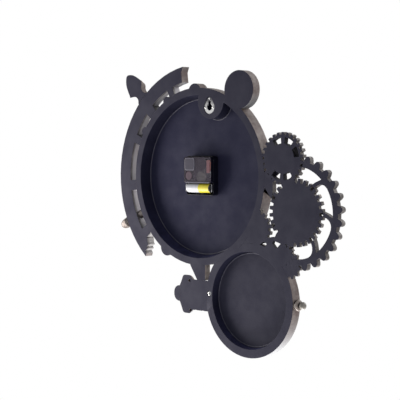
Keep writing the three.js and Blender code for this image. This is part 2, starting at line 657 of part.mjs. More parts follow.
// Lower case and what sits on its rim
function lowerCase() {
  const hollowR = LOW_R - LOW_RIM;
  const dish = [[0, 1], [hollowR, 1], [hollowR, 0], [hollowR - LOW_DRAFT, -LOW_RECESS], [0, -LOW_RECESS]];
  const hollow = turned(dish, BIG_FACETS);
  const pin = disc(GAUGE_PIN_R + GAP, -LOW_RECESS - LOW_FLOOR_SKIN, -LOW_T - 1, FINE_FACETS);
  const at = polar(LOW_R - LOW_RIM / 2, RIM_SCREW_ANGLE);
  const counterbore = disc(RIM_SCREW_R + GAP, 1, -RIM_SCREW_HEAD_T - GAP, FINE_FACETS, at);
  const pilot = disc(RIM_SCREW_SHANK_R + GAP, 1, -RIM_SCREW_LENGTH - GAP, FINE_FACETS, at);
  return cut(disc(LOW_R, 0, -LOW_T, BIG_FACETS), hollow, fromCase(LOW_AT), pin, counterbore, pilot);
}

function crownCollar() {
  const foot = LOW_R + GAP;
  const profile = [[0, foot], [CROWN_COLLAR_R, foot], [CROWN_COLLAR_R, foot + CROWN_COLLAR_T * 0.55],
    [CROWN_COLLAR_R * 0.72, foot + CROWN_COLLAR_T * 0.7], [CROWN_COLLAR_R * 0.55, foot + CROWN_COLLAR_T],
    [0, foot + CROWN_COLLAR_T]];
  return turned(profile, FINE_FACETS, (form) => form.rotateZ(Math.PI / 2));
}

function crownBall() {
  const foot = LOW_R + CROWN_COLLAR_T + 2 * GAP;
  const curve = [[0, 0], [0.55, 0], [0.92, 0.25], [1, 0.47], [0.85, 0.77], [0.46, 0.96], [0, 1]];
  const profile = curve.map(([out, up]) => [out * CROWN_BALL_R, foot + up * CROWN_BALL_L]);
  return turned(profile, FINE_FACETS, (form) => form.rotateZ(Math.PI / 2));
}

// A gauge on a front face at y: bezel, dial, pointer and the pin that holds the pointer
function addGauge(parent, prefix, [x, z], y, [bezelR, bezelW, bezelH], pinRear) {
  const seat = y - GAP;
  const dialR = bezelR - bezelW - GAP;
  const inner = bezelR - bezelW;
  const rim = [[inner, seat], [bezelR, seat], [bezelR, seat - bezelH * 0.6],
    [bezelR - bezelW * 0.25, seat - bezelH], [bezelR - bezelW * 0.6, seat - bezelH],
    [inner, seat - bezelH * 0.35], [inner, seat]];
  const pointerY = seat - GAUGE_DIAL_T - GAP;
  const hub = GAUGE_PIN_R * 2;
  const shape = polygon([...arc(hub, 120, 420, 30), [hub * 0.25, dialR * 0.82], [-hub * 0.25, dialR * 0.82]]);
  const headY = pointerY - POINTER_T - GAP;
  const pin = [[0, pinRear], [GAUGE_PIN_R, pinRear], [GAUGE_PIN_R, headY], [hub, headY],
    [hub * 0.7, headY - 1.2], [0, headY - 1.2]];
  const hole = (y0, y1) => disc(GAUGE_PIN_R + GAP, y0 + 1, y1 - 1, FINE_FACETS);
  add(parent, `${prefix}_bezel`, turned(rim, dialR > EAR_R ? BIG_FACETS : MID_FACETS), BRONZE, [x, 0, z]);
  const dial = disc(dialR, seat, seat - GAUGE_DIAL_T, MID_FACETS);
  add(parent, `${prefix}_dial`, cut(dial, hole(seat, seat - GAUGE_DIAL_T)), IVORY, [x, 0, z]);
  const pointer = plate(shape, pointerY, pointerY - POINTER_T);
  add(parent, `${prefix}_pointer`, cut(pointer, hole(pointerY, pointerY - POINTER_T)), RED, [x, 0, z]);
  add(parent, `${prefix}_pin`, turned(pin, FINE_FACETS), BRASS, [x, 0, z]);
}

// Link strap and the valve ornament, flat at the back and half round in front
function linkStrap() {
  const inner = VALVE_ROOT + STRAP_INSET;
  const foot = LOW_AT[1] + VALVE_BODY_R + GAP;
  const head = -CASE_R + LUG_R;
  const knee = -CASE_R - GAP;
  const shape = polygon([[inner, foot], [inner + STRAP_LOW_W, foot], [inner + STRAP_TOP_W, knee],
    [inner + STRAP_TOP_W, head], [inner, head]]);
  return cut(plate(shape, 0, -STRAP_T), fromCase([0, 0]), fromLow([0, 0]));
}

function halfTurned(profile) {
  const lay = (form) => form.rotateZ(-Math.PI / 2).scale(1, VALVE_FLAT, 1);
  const long = VALVE_BODY_L + VALVE_WHEEL_L + VALVE_CAP_L;
  const front = block(-LOW_R, long, 0, -VALVE_WHEEL_R, -VALVE_WHEEL_R - 1, VALVE_WHEEL_R + 1);
  return turned(profile, FINE_FACETS * 2, lay).intersect(front);
}

function valveBody() {
  const end = VALVE_BODY_L - GAP;
  const start = -VALVE_BODY_R / 2;
  const body = halfTurned([[0, start], [VALVE_BODY_R, start], [VALVE_BODY_R, end], [0, end]]);
  return body.subtract(disc(LOW_R + GAP, 1, -CASE_T - 1, BIG_FACETS, [-LOW_R, 0]));
}

function valveWheel() {
  const curve = [[0, 0], [0.8, 0], [0.9, 0.13], [1, 0.24], [1, 0.66], [0.96, 0.74], [0.7, 0.87],
    [0.45, 1], [0, 1]];
  const length = VALVE_WHEEL_L - GAP;
  return halfTurned(curve.map(([out, along]) => [out * VALVE_WHEEL_R, VALVE_BODY_L + along * length]));
}

function valveCap() {
  const curve = [[0, 0], [1, 0], [0.97, 0.3], [0.78, 0.66], [0.42, 0.92], [0, 1]];
  const foot = VALVE_BODY_L + VALVE_WHEEL_L;
  return halfTurned(curve.map(([out, along]) => [out * VALVE_CAP_R, foot + along * VALVE_CAP_L]));
}

// Front of the main case
function mainBezel() {
  const seat = DIAL_Y;
  const inner = BEZEL_R - BEZEL_W;
  return turned([[inner, seat], [BEZEL_R, seat], [BEZEL_R, seat - BEZEL_H * 0.35],
    [BEZEL_R - BEZEL_W * 0.18, seat - BEZEL_H * 0.5], [BEZEL_R - BEZEL_W * 0.22, seat - BEZEL_H * 0.85],
    [BEZEL_R - BEZEL_W * 0.4, seat - BEZEL_H], [BEZEL_R - BEZEL_W * 0.62, seat - BEZEL_H * 0.93],
    [inner, seat - BEZEL_H * 0.3], [inner, seat]], BIG_FACETS);
}

function hexNut() {
  const form = new THREE.CylinderGeometry(NUT_R, NUT_R, NUT_T, 6).translate(0, NUT_Y - NUT_T / 2, 0);
  return solidFrom(form).subtract(disc(SHANK_R + GAP, NUT_Y + 1, NUT_Y - NUT_T - 1, FINE_FACETS));
}

// A hand with a round boss: points of the blade run up from the boss, x to each side
function hand(y, boss, bore, blade, tail = []) {
  const from = (Math.asin(blade[0][0] / boss) * 180) / Math.PI;
  const right = blade.slice(1);
  const left = [...blade].reverse().map(([half, up]) => [-half, up]);
  const rest = tail.length
    ? [...arc(boss, 90 + from, 270 - from, 25).slice(1), ...tail, ...arc(boss, 270 + from, 450 - from, 25)]
    : arc(boss, 90 + from, 450 - from, 25).slice(1);
  const shape = polygon([...right, ...left, ...rest]);
  return plate(shape, y, y - HAND_T).subtract(disc(bore, y + 1, y - HAND_T - 1, FINE_FACETS));
}

function hourHand() {
  const [w, l] = [HOUR_W / 2, HOUR_LENGTH];
  const blade = [[w * 0.4, w], [w * 0.45, l * 0.5], [w, l * 0.66], [w * 0.8, l * 0.74],
    [w * 0.25, l * 0.82], [0, l]];
  return hand(HOUR_Y, HOUR_TUBE_R * 2.6, HOUR_TUBE_R + FIT, blade);
}

function minuteHand() {
  const [w, l] = [MINUTE_W / 2, MINUTE_LENGTH];
  const blade = [[w * 0.4, w], [w * 0.45, l * 0.6], [w, l * 0.72], [w * 0.8, l * 0.78],
    [w * 0.25, l * 0.84], [0, l]];
  return hand(MINUTE_Y, HOUR_TUBE_R * 2, MINUTE_TUBE_R + FIT, blade);
}

function secondHand() {
  const w = SECOND_W / 2;
  const blade = [[w, SECOND_W], [w * 0.35, SECOND_LENGTH]];
  const tail = [[-w * 1.6, -SECOND_TAIL], [w * 1.6, -SECOND_TAIL]];
  return hand(SECOND_Y, SECOND_W * 1.7, SECOND_ARBOR_R + FIT, blade, tail);
}

// Movement: y runs rearward from the front face of its box
function arborAt([x, z], y0, y1, radius = ARBOR_R) {
  return disc(radius, y0, y1, FINE_FACETS / 2, [x, z]);
}

function toothed(teeth, reach, mate, index, phase, [x, z] = [0, 0], bore = 0) {
  const module = (2 * reach) / (teeth + mate);
  const tip = module * (teeth / 2 + ADDENDUM);
  const root = module * (teeth / 2 - DEDENDUM);
  const y = layer(index);
  const wheel = plate(polygon(gearPoints(teeth, tip, root, FINE_TOOTH, phase)), y + WHEEL_T, y, [x, z]);
  return bore ? wheel.subtract(disc(bore, y - 1, y + WHEEL_T + 1, FINE_FACETS, [x, z])) : wheel;
}

// Phase that puts a gap of the mate where the first gear has a tooth, along the line between centres
function matePhase(teeth, phase, mate, direction) {
  const turnShare = ((direction - phase) * teeth) / 360;
  return direction + 180 - ((0.5 - turnShare) * 360) / mate;
}

const SECONDS_PHASE = 0;
const INTER_PHASE = matePhase(SECONDS_TEETH, SECONDS_PHASE, INTER_LEAVES, INTER_ANGLE);
const ROTOR_PHASE = matePhase(INTER_TEETH, INTER_PHASE, ROTOR_LEAVES, ROTOR_ANGLE);
const THIRD_PHASE = matePhase(SECONDS_LEAVES, SECONDS_PHASE, THIRD_TEETH, THIRD_ANGLE);
const CENTRE_PHASE = matePhase(THIRD_LEAVES, THIRD_PHASE, CENTRE_TEETH, THIRD_ANGLE + 180);
const MOTION_PHASE = matePhase(CANNON_LEAVES, 0, MOTION_TEETH, MOTION_ANGLE);
const HOUR_PHASE = matePhase(MOTION_LEAVES, MOTION_PHASE, HOUR_TEETH, MOTION_ANGLE + 180);
const KNOB_PHASE = matePhase(MOTION_TEETH, MOTION_PHASE, CANNON_LEAVES, KNOB_ANGLE);
const PIVOT_FRONT = BOX_WALL - PIVOT_DEPTH;
const PIVOT_REAR = REAR_IN + PIVOT_DEPTH;
const FRONT_PIVOTS = [INTER_AT, ROTOR_AT, THIRD_AT, MOTION_AT, KNOB_AT];
const REAR_PIVOTS = [INTER_AT, ROTOR_AT, THIRD_AT, [0, 0]];

function frontCase() {
  const shell = block(-BOX_HALF, BOX_HALF, 0, BOX_FRONT_T, BOX_LOW, BOX_TOP);
  const train = block(-BOX_IN, BOX_IN, BOX_WALL, BOX_FRONT_T + 1, TRAIN_FLOOR, BOX_TOP_IN);
  const bay = block(-BOX_IN, BOX_IN, BAY_FLOOR, BOX_FRONT_T + 1, BOX_LOW + BOX_WALL, BAY_TOP);
  const shank = disc(SHANK_R, BOX_WALL / 2, SHANK_END - BOX_Y, FINE_FACETS * 2);
  const bore = disc(SHANK_BORE_R, BOX_WALL + 1, SHANK_END - BOX_Y - 1, FINE_FACETS);
  const pivots = FRONT_PIVOTS.map((at) => arborAt(at, PIVOT_FRONT - FIT, BOX_WALL + 1, ARBOR_R + FIT));
  return cut(joined(cut(shell, train, bay), shank), bore, ...pivots);
}

function rearCover() {
  const rear = REAR_Y + BOX_REAR_T;
  const shell = block(-BOX_HALF, BOX_HALF, REAR_Y, rear, BAY_TOP, BOX_TOP);
  const train = block(-BOX_IN, BOX_IN, REAR_Y - 1, REAR_IN, TRAIN_FLOOR, BOX_TOP_IN);
  const cup = disc(KNOB_CUP_R, REAR_Y + GAP, rear, MID_FACETS / 2, KNOB_AT);
  const well = disc(KNOB_R + GAP, rear - KNOB_T - 2 * GAP, rear + 1, MID_FACETS / 2, KNOB_AT);
  const shaft = disc(KNOB_SHAFT_R + TUBE_SLACK, REAR_Y - 1, rear, FINE_FACETS, KNOB_AT);
  const inside = cup.intersect(shell);
  const pivots = REAR_PIVOTS.map((at) => arborAt(at, REAR_IN - 1, PIVOT_REAR + FIT, ARBOR_R + FIT));
  return cut(joined(cut(shell, train), inside), well, shaft, ...pivots);
}

function battery() {
  const half = BATTERY_L / 2;
  const profile = [[0, -half], [BATTERY_R * 0.94, -half], [BATTERY_R, -half + 0.6], [BATTERY_R, half - 0.6],
    [BATTERY_R * 0.94, half], [NUB_R, half], [NUB_R, half + NUB_L], [0, half + NUB_L]];
  return turned(profile, FINE_FACETS * 2, (form) => form.rotateZ(Math.PI / 2));
}

function contact(side, reach) {
  const outer = side * (BOX_IN - GAP);
  const inner = outer - side * CONTACT_T;
  const half = CONTACT_H / 2;
  const y = BAY_FLOOR + GAP;
  const leaf = block(inner, outer, y, y + CONTACT_H, -BATTERY_DROP - half, -BATTERY_DROP + half);
  const cone = turned([[0, 0], [NUB_R, 0], [NUB_R * 0.6, reach], [0, reach]], FINE_FACETS, (form) =>
    form.rotateZ((side * Math.PI) / 2).translate(inner + (side * CONTACT_T) / 2, BATTERY_Y, -BATTERY_DROP));
  return leaf.add(cone);
}

const BATTERY_Y = BAY_FLOOR + GAP + BATTERY_R;

function circuitBoard() {
  const y = REAR_IN - GAP;
  const right = BOX_IN - GAP;
  const top = BOX_TOP_IN - GAP;
  const low = KNOB_AT[1] + KNOB_CUP_R + GAP;
  const panel = block(right - BOARD_W, right, y, y - BOARD_T, low, top);
  const middle = right - BOARD_W / 2;
  const chip = turned([[0, 0], [BOARD_W * 0.24, 0], [BOARD_W * 0.18, -1], [0, -1.3]], FINE_FACETS, (form) =>
    form.translate(middle, y - BOARD_T + 0.2, low + (top - low) * 0.34));
  const can = block(middle - 3, middle + 3, y - BOARD_T - 1.6, y - BOARD_T + 0.2, top - 3.4, top - 1.4);
  return joined(panel, chip, can);
}

const COIL_Y = layer(2) + STATOR_T;

function coil() {
  const top = COIL_TOP;
  const bore = CORE_R + GAP;
  const low = COIL_FOOT;
  const profile = [[bore, low], [COIL_FLANGE_R, low], [COIL_FLANGE_R, low + 1], [COIL_R, low + 1],
    [COIL_R, top - 1], [COIL_FLANGE_R, top - 1], [COIL_FLANGE_R, top], [bore, top], [bore, low]];
  return turned(profile, FINE_FACETS, (form) => form.rotateX(Math.PI / 2).translate(COIL_SIDE, COIL_Y, 0));
}

function stator() {
  const [y0, y1] = [COIL_Y - STATOR_T / 2, COIL_Y + STATOR_T / 2];
  const [x, z] = ROTOR_AT;
  const right = x + STATOR_R;
  const top = COIL_TOP + GAP;
  const low = COIL_FOOT - GAP;
  const wide = CORE_R + STATOR_ARM;
  const lobe = disc(STATOR_R, y0, y1, MID_FACETS / 2, ROTOR_AT);
  const foot = block(COIL_SIDE - wide, x, y0, y1, low - 2 * STATOR_ARM, low);
  const arm = block(right - 2 * STATOR_ARM, right, y0, y1, z, top + STATOR_ARM);
  const head = block(COIL_SIDE - wide, right, y0, y1, top, top + STATOR_ARM);
  const core = new THREE.CylinderGeometry(CORE_R, CORE_R, top - low + STATOR_ARM, FINE_FACETS / 2);
  const rod = solidFrom(core.rotateX(Math.PI / 2).translate(COIL_SIDE, COIL_Y, (top + low) / 2));
  return cut(joined(lobe, foot, arm, head, rod), disc(MAGNET_R + GAP, y0 - 1, y1 + 1, FINE_FACETS, ROTOR_AT));
}

function rotor() {
  const magnet = disc(MAGNET_R, COIL_Y - MAGNET_T / 2, COIL_Y + MAGNET_T / 2, FINE_FACETS, ROTOR_AT);
  const pinion = toothed(ROTOR_LEAVES, ROTOR_REACH, INTER_TEETH, 5, ROTOR_PHASE, ROTOR_AT);
  return joined(arborAt(ROTOR_AT, PIVOT_FRONT, PIVOT_REAR), magnet, pinion);
}

function intermediateWheel() {
  const wheel = toothed(INTER_TEETH, ROTOR_REACH, ROTOR_LEAVES, 5, INTER_PHASE, INTER_AT);
  const pinion = toothed(INTER_LEAVES, INTER_REACH, SECONDS_TEETH, 4, INTER_PHASE, INTER_AT);
  return joined(arborAt(INTER_AT, PIVOT_FRONT, PIVOT_REAR), wheel, pinion);
}

function secondsWheel() {
  const wheel = toothed(SECONDS_TEETH, INTER_REACH, INTER_LEAVES, 4, SECONDS_PHASE);
  const pinion = toothed(SECONDS_LEAVES, THIRD_REACH, THIRD_TEETH, 3, SECONDS_PHASE);
  const tip = SECOND_Y - HAND_T - FIT - BOX_Y;
  const arbor = arborAt([0, 0], tip, layer(3), SECOND_ARBOR_R);
  return joined(arbor, arborAt([0, 0], layer(3), PIVOT_REAR), wheel, pinion);
}

function thirdWheel() {
  const wheel = toothed(THIRD_TEETH, THIRD_REACH, SECONDS_LEAVES, 3, THIRD_PHASE, THIRD_AT);
  const pinion = toothed(THIRD_LEAVES, THIRD_REACH, CENTRE_TEETH, 2, THIRD_PHASE, THIRD_AT);
  return joined(arborAt(THIRD_AT, PIVOT_FRONT, PIVOT_REAR), wheel, pinion);
}

const CANNON_BOSS_R = SECOND_ARBOR_R + TUBE_SLACK + 0.5;

function centreWheel() {
  return toothed(CENTRE_TEETH, THIRD_REACH, THIRD_LEAVES, 2, CENTRE_PHASE, [0, 0], CANNON_BOSS_R + FIT);
}

function cannonPinion() {
  const pinion = toothed(CANNON_LEAVES, MOTION_REACH, MOTION_TEETH, 1, 0);
  const tip = MINUTE_Y - HAND_T - FIT - BOX_Y;
  const tube = disc(MINUTE_TUBE_R, tip, layer(1), FINE_FACETS);
  const boss = disc(CANNON_BOSS_R, layer(1), layer(2) + WHEEL_T, FINE_FACETS);
  const bore = disc(SECOND_ARBOR_R + TUBE_SLACK, tip - 1, layer(2) + WHEEL_T + 1, FINE_FACETS);
  return joined(tube, pinion, boss).subtract(bore);
}

function motionWheel() {
  const wheel = toothed(MOTION_TEETH, MOTION_REACH, CANNON_LEAVES, 1, MOTION_PHASE, MOTION_AT);
  const pinion = toothed(MOTION_LEAVES, MOTION_REACH, HOUR_TEETH, 0, MOTION_PHASE, MOTION_AT);
  return joined(arborAt(MOTION_AT, PIVOT_FRONT, layer(1) + WHEEL_T), wheel, pinion);
}

function hourWheel() {
  const wheel = toothed(HOUR_TEETH, MOTION_REACH, MOTION_LEAVES, 0, HOUR_PHASE);
  const tip = HOUR_Y - HAND_T - FIT - BOX_Y;
  const tube = disc(HOUR_TUBE_R, tip, layer(0), FINE_FACETS);
  const bore = disc(MINUTE_TUBE_R + TUBE_SLACK, tip - 1, layer(0) + WHEEL_T + 1, FINE_FACETS);
  return joined(tube, wheel).subtract(bore);
}

function settingKnob() {
  const rear = REAR_Y + BOX_REAR_T - GAP;
  const grip = disc(KNOB_R, rear - KNOB_T, rear, FINE_FACETS * 2, KNOB_AT);
  const shaft = disc(KNOB_SHAFT_R, layer(1), rear - KNOB_T / 2, FINE_FACETS, KNOB_AT);
  const pinion = toothed(CANNON_LEAVES, MOTION_REACH, MOTION_TEETH, 1, KNOB_PHASE, KNOB_AT);
  return joined(grip, shaft, pinion, arborAt(KNOB_AT, PIVOT_FRONT, layer(1)));
}

// The clock, hung by its nail seat
const clock = new THREE.Group();
clock.position.set(-NAIL_AT[0], 0, -NAIL_AT[1]);

add(clock, 'main_case', mainCase(), CHARCOAL);
add(clock, 'slotted_arc', slottedArc(), BRONZE);
const finialMesh = add(clock, 'finial', finial(), BRONZE);
const [finialX, finialZ] = polar(BAND_OUT + GAP, FINIAL_ANGLE);
finialMesh.position.set(finialX, 0, finialZ);
finialMesh.rotation.y = rad(90 - FINIAL_ANGLE);
add(clock, 'tie_rod', tieRod(), BRONZE);
add(clock, 'dome_knob', domeKnob(), BRONZE);
add(clock, 'hanger_plate', hangerPlate(), CHROME, [NAIL_AT[0], 0, NAIL_AT[1]]);
HANGER_SCREWS.forEach((at, i) => {
  const [x, z] = shifted(NAIL_AT, at);
  const screw = flushScrew(HANGER_SCREW_R, HANGER_SUNK - GAP, HANGER_SCREW_SHANK_R, HANGER_SCREW_LENGTH);
  add(clock, `hanger_screw_${i + 1}`, screw, CHROME, [x, 0, z]);
});
add(clock, 'ear_case', earCase(), BRONZE, [EAR_AT[0], 0, EAR_AT[1]]);
addGauge(clock, 'ear', EAR_AT, -EAR_T, [EAR_BEZEL_R, EAR_BEZEL_W, EAR_BEZEL_H], -EAR_T / 2 - GAP);

add(clock, 'big_gear', bigGear(), BRONZE, [BIG_AT[0], 0, BIG_AT[1]]);
add(clock, 'middle_gear', middleGear(), COPPER, [BIG_AT[0], 0, BIG_AT[1]]);
add(clock, 'middle_gear_cap', gearCap(MIDDLE_CAP_R, -BIG_T, MIDDLE_T), BRASS, [BIG_AT[0], 0, BIG_AT[1]]);
add(clock, 'small_gear', smallGear(), COPPER, [SMALL_AT[0], 0, SMALL_AT[1]]);
add(clock, 'small_gear_cap', gearCap(SMALL_CAP_R, -BIG_T, SMALL_T), BRASS, [SMALL_AT[0], 0, SMALL_AT[1]]);
add(clock, 'idler_gear', idlerGear(), BRONZE, [IDLER_AT[0], 0, IDLER_AT[1]]);
add(clock, 'lower_pinion', lowerPinion(), COPPER, [PINION_AT[0], 0, PINION_AT[1]]);

add(clock, 'lower_case', lowerCase(), CHARCOAL, [LOW_AT[0], 0, LOW_AT[1]]);
const lowerPinRear = -LOW_RECESS - LOW_FLOOR_SKIN - GAP;
addGauge(clock, 'lower', LOW_AT, -LOW_T, [LOW_BEZEL_R, LOW_BEZEL_W, LOW_BEZEL_H], lowerPinRear);
add(clock, 'crown_collar', crownCollar(), BRONZE, [LOW_AT[0], CROWN_Y, LOW_AT[1]]);
add(clock, 'crown_ball', crownBall(), BRONZE, [LOW_AT[0], CROWN_Y, LOW_AT[1]]);
const [screwX, screwZ] = shifted(LOW_AT, polar(LOW_R - LOW_RIM / 2, RIM_SCREW_ANGLE));
const rimScrew = flushScrew(RIM_SCREW_R, RIM_SCREW_HEAD_T, RIM_SCREW_SHANK_R, RIM_SCREW_LENGTH);
add(clock, 'rim_screw', rimScrew, STEEL, [screwX, 0, screwZ]);
add(clock, 'link_strap', linkStrap(), BRONZE);
add(clock, 'valve_body', valveBody(), BRONZE, [VALVE_ROOT, 0, LOW_AT[1]]);
add(clock, 'valve_wheel', valveWheel(), BRONZE, [VALVE_ROOT, 0, LOW_AT[1]]);
add(clock, 'valve_cap', valveCap(), BRONZE, [VALVE_ROOT, 0, LOW_AT[1]]);

add(clock, 'main_bezel', mainBezel(), BRONZE);
const dialHole = SHANK_R + GAP;
add(clock, 'dial_plate', ring(dialHole, BEZEL_R - BEZEL_W - GAP, DIAL_Y, DIAL_Y - DIAL_T, BIG_FACETS), IVORY);
add(clock, 'brass_washer', ring(dialHole, WASHER_R, WASHER_Y, WASHER_Y - WASHER_T, FINE_FACETS * 2), BRASS);
add(clock, 'hex_nut', hexNut(), BRASS);
add(clock, 'hour_hand', hourHand(), BLACK).rotation.y = rad(HOUR_SHOWN);
add(clock, 'minute_hand', minuteHand(), BLACK).rotation.y = rad(MINUTE_SHOWN);
add(clock, 'second_hand', secondHand(), RED);

// The movement, clamped to the floor of the case on its gasket
const gasket = ring(dialHole, GASKET_R, GASKET_Y, GASKET_Y - GASKET_T, FINE_FACETS * 2);
add(clock, 'movement_gasket', gasket, RUBBER);
const movement = new THREE.Group();
movement.position.set(0, BOX_Y, 0);
clock.add(movement);
add(movement, 'movement_front_case', frontCase(), SMOKE);
add(movement, 'movement_rear_cover', rearCover(), SMOKE);
add(movement, 'battery', battery(), YELLOW, [0, BATTERY_Y, -BATTERY_DROP]);
const reachLeft = BOX_IN - GAP - CONTACT_T / 2 - BATTERY_L / 2 - NUB_L - GAP;
const reachRight = BOX_IN - GAP - CONTACT_T / 2 - BATTERY_L / 2 - GAP;
add(movement, 'contact_plus', contact(-1, reachLeft), STEEL);
add(movement, 'contact_minus', contact(1, reachRight), STEEL);
add(movement, 'circuit_board', circuitBoard(), GREEN);
add(movement, 'coil', coil(), COPPER);
add(movement, 'stator', stator(), STEEL);
add(movement, 'rotor', rotor(), NYLON);
add(movement, 'intermediate_wheel', intermediateWheel(), NYLON);
add(movement, 'seconds_wheel', secondsWheel(), NYLON);
add(movement, 'third_wheel', thirdWheel(), NYLON);
add(movement, 'centre_wheel', centreWheel(), NYLON);
add(movement, 'cannon_pinion', cannonPinion(), BRASS);
add(movement, 'motion_wheel', motionWheel(), NYLON);
add(movement, 'hour_wheel', hourWheel(), NYLON);
add(movement, 'setting_knob', settingKnob(), MAUVE);

export default clock;
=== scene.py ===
from math import cos, pi, radians, sin

import bmesh
import bpy
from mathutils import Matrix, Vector
from mathutils.bvhtree import BVHTree


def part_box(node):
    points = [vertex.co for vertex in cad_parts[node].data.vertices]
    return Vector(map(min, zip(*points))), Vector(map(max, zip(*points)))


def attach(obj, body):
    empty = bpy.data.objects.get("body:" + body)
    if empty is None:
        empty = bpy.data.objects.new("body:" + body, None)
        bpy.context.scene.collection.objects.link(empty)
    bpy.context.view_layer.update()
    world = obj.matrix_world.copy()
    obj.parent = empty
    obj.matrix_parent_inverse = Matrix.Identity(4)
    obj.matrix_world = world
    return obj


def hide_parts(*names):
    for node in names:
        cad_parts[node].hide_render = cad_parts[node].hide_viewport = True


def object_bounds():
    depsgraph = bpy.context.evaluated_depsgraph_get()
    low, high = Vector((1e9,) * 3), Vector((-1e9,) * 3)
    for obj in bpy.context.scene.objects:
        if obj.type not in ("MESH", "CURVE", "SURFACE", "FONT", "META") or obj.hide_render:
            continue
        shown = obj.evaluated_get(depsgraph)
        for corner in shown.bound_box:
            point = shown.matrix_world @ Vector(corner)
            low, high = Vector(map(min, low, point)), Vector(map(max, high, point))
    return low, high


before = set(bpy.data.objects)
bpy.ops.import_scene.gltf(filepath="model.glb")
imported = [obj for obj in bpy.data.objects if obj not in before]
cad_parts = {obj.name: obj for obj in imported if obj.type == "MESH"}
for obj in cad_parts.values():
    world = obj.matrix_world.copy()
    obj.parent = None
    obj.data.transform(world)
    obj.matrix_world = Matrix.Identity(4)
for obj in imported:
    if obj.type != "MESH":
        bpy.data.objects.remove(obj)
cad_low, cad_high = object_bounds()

MM = 0.001

# The turn from which an edge stays sharp
SHARP = radians(28)
TURNED_SHARP = radians(35)
BEZEL_SHARP = radians(40)
BEAD_SHARP = radians(60)

# How near points are joined, also by a saw cut, what counts as flat and as level, the usual rounding of an edge,
# and the part of a face's direction from which it looks to the front or the back
WELD = 1e-6
SAW = 1e-7
FLAT = radians(0.4)
LEVEL = 0.05 * MM
EDGE = 0.35 * MM
FACING = 0.35


# Places and sizes of the clock; the places come from its own nodes

def middle_of(node):
    low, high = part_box(node)
    return (low + high) / 2


def front_of(node):
    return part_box(node)[0].y


def depth_of(node):
    low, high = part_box(node)
    return (high.y - low.y) / MM


def offset(x, z):
    return Vector((x, 0, z)) * MM


def flat_reach(point, centre):
    return Vector((point.x - centre.x, 0, point.z - centre.z)).length


def at(centre, y):
    return (centre.x, y, centre.z)


def on_ring(centre, radius, turn, y):
    return (centre.x + radius * cos(turn), y, centre.z + radius * sin(turn))


def mm(profile):
    return [(radius * MM, height * MM) for radius, height in profile]


DIAL = middle_of("main_bezel")
LOW = middle_of("lower_bezel")
EAR = middle_of("ear_bezel")
BIG = middle_of("middle_gear_cap")
SMALL = middle_of("small_gear_cap")
GAP = 0.3 * MM
CASE_R = 133 * MM
RECESS_R = 122 * MM
RECESS_FLOOR_R = 118.5 * MM
RECESS_Y = -17.3 * MM
LOW_R = 83.5 * MM
LOW_RECESS_R = 71 * MM
LOW_FLOOR_R = 69.5 * MM
LOW_RECESS_Y = -11.5 * MM
PAD = offset(-3, -1)
PAD_R = 26 * MM
KEYHOLE = offset(0, -7)
KEYHOLE_R = 11 * MM
BAND_PANEL = 0.8 * MM
DIAL_R = 106 * MM
LOW_DIAL_R = 59 * MM
EAR_DIAL_R = 13 * MM


# Hand work: picking a piece up, shaping it and laying it in its place

def put_down():
    if bpy.context.object and bpy.context.object.mode != "OBJECT":
        bpy.ops.object.mode_set(mode="OBJECT")
    bpy.ops.object.select_all(action="DESELECT")


def named(piece, name):
    piece.name = name
    piece.data.name = name
    return piece


def lay_out(thing):
    bpy.context.scene.collection.objects.link(thing)
    return thing


def pick_up(piece):
    put_down()
    piece.select_set(True)
    bpy.context.view_layer.objects.active = piece


def work_on(piece, kind="EDGE"):
    pick_up(piece)
    bpy.ops.object.mode_set(mode="EDIT")
    bpy.ops.mesh.select_mode(type=kind)
    bpy.ops.mesh.select_all(action="DESELECT")
    return bmesh.from_edit_mesh(piece.data)


def take_all():
    bpy.ops.mesh.select_all(action="SELECT")


def close_up():
    take_all()
    bpy.ops.mesh.fill_holes(sides=0)


def choose(piece, mesh, things, wanted):
    for thing in things:
        thing.select_set(wanted(thing))
    mesh.select_flush_mode()
    bmesh.update_edit_mesh(piece.data)


def join_points(piece):
    work_on(piece, "VERT")
    take_all()
    bpy.ops.mesh.remove_doubles(threshold=WELD)


def weld(piece):
    join_points(piece)
    bpy.ops.mesh.normals_make_consistent(inside=False)
    put_down()
    return piece


def smooth(piece, angle=SHARP):
    pick_up(piece)
    bpy.ops.object.shade_smooth_by_angle(angle=angle)
    level = piece.modifiers.new("level", "WEIGHTED_NORMAL")
    level.keep_sharp = True
    level.weight = 90
    bpy.ops.object.modifier_apply(modifier=level.name)
    put_down()
    return piece


def settle(piece, turn=(0, 0, 0), place=(0, 0, 0)):
    piece.rotation_euler = turn
    piece.location = place
    pick_up(piece)
    bpy.ops.object.transform_apply(location=True, rotation=True, scale=True)
    put_down()
    return piece


TO_FRONT = (pi / 2, 0, 0)
TO_REAR = (-pi / 2, 0, 0)
TO_LEFT = (0, -pi / 2, 0)


def casting(node, name):
    # a copy of the node's solid, its loose triangles joined into whole faces
    piece = lay_out(bpy.data.objects.new(name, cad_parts[node].data.copy()))
    piece.data.materials.clear()
    join_points(piece)
    bpy.ops.mesh.dissolve_limited(angle_limit=FLAT)
    put_down()
    return piece


CASTINGS = ("main_case", "lower_case", "slotted_arc", "finial", "ear_case", "big_gear", "middle_gear", "small_gear",
            "idler_gear", "lower_pinion", "link_strap", "valve_body")


def skin(node):
    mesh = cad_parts[node].data
    return BVHTree.FromPolygons([point.co for point in mesh.vertices], [face.vertices for face in mesh.polygons])


SKINS = {node: skin(node) for node in CASTINGS}


def beside(spot, node):
    # the place across the seam on another casting, if one lies level with this spot
    there = SKINS[node].find_nearest(spot, 1.5 * GAP)[0]
    if there is None or abs(there.y - spot.y) > 0.1 * GAP:
        return None
    return there


def to_micron(spot):
    return tuple(round(value, 6) for value in spot)


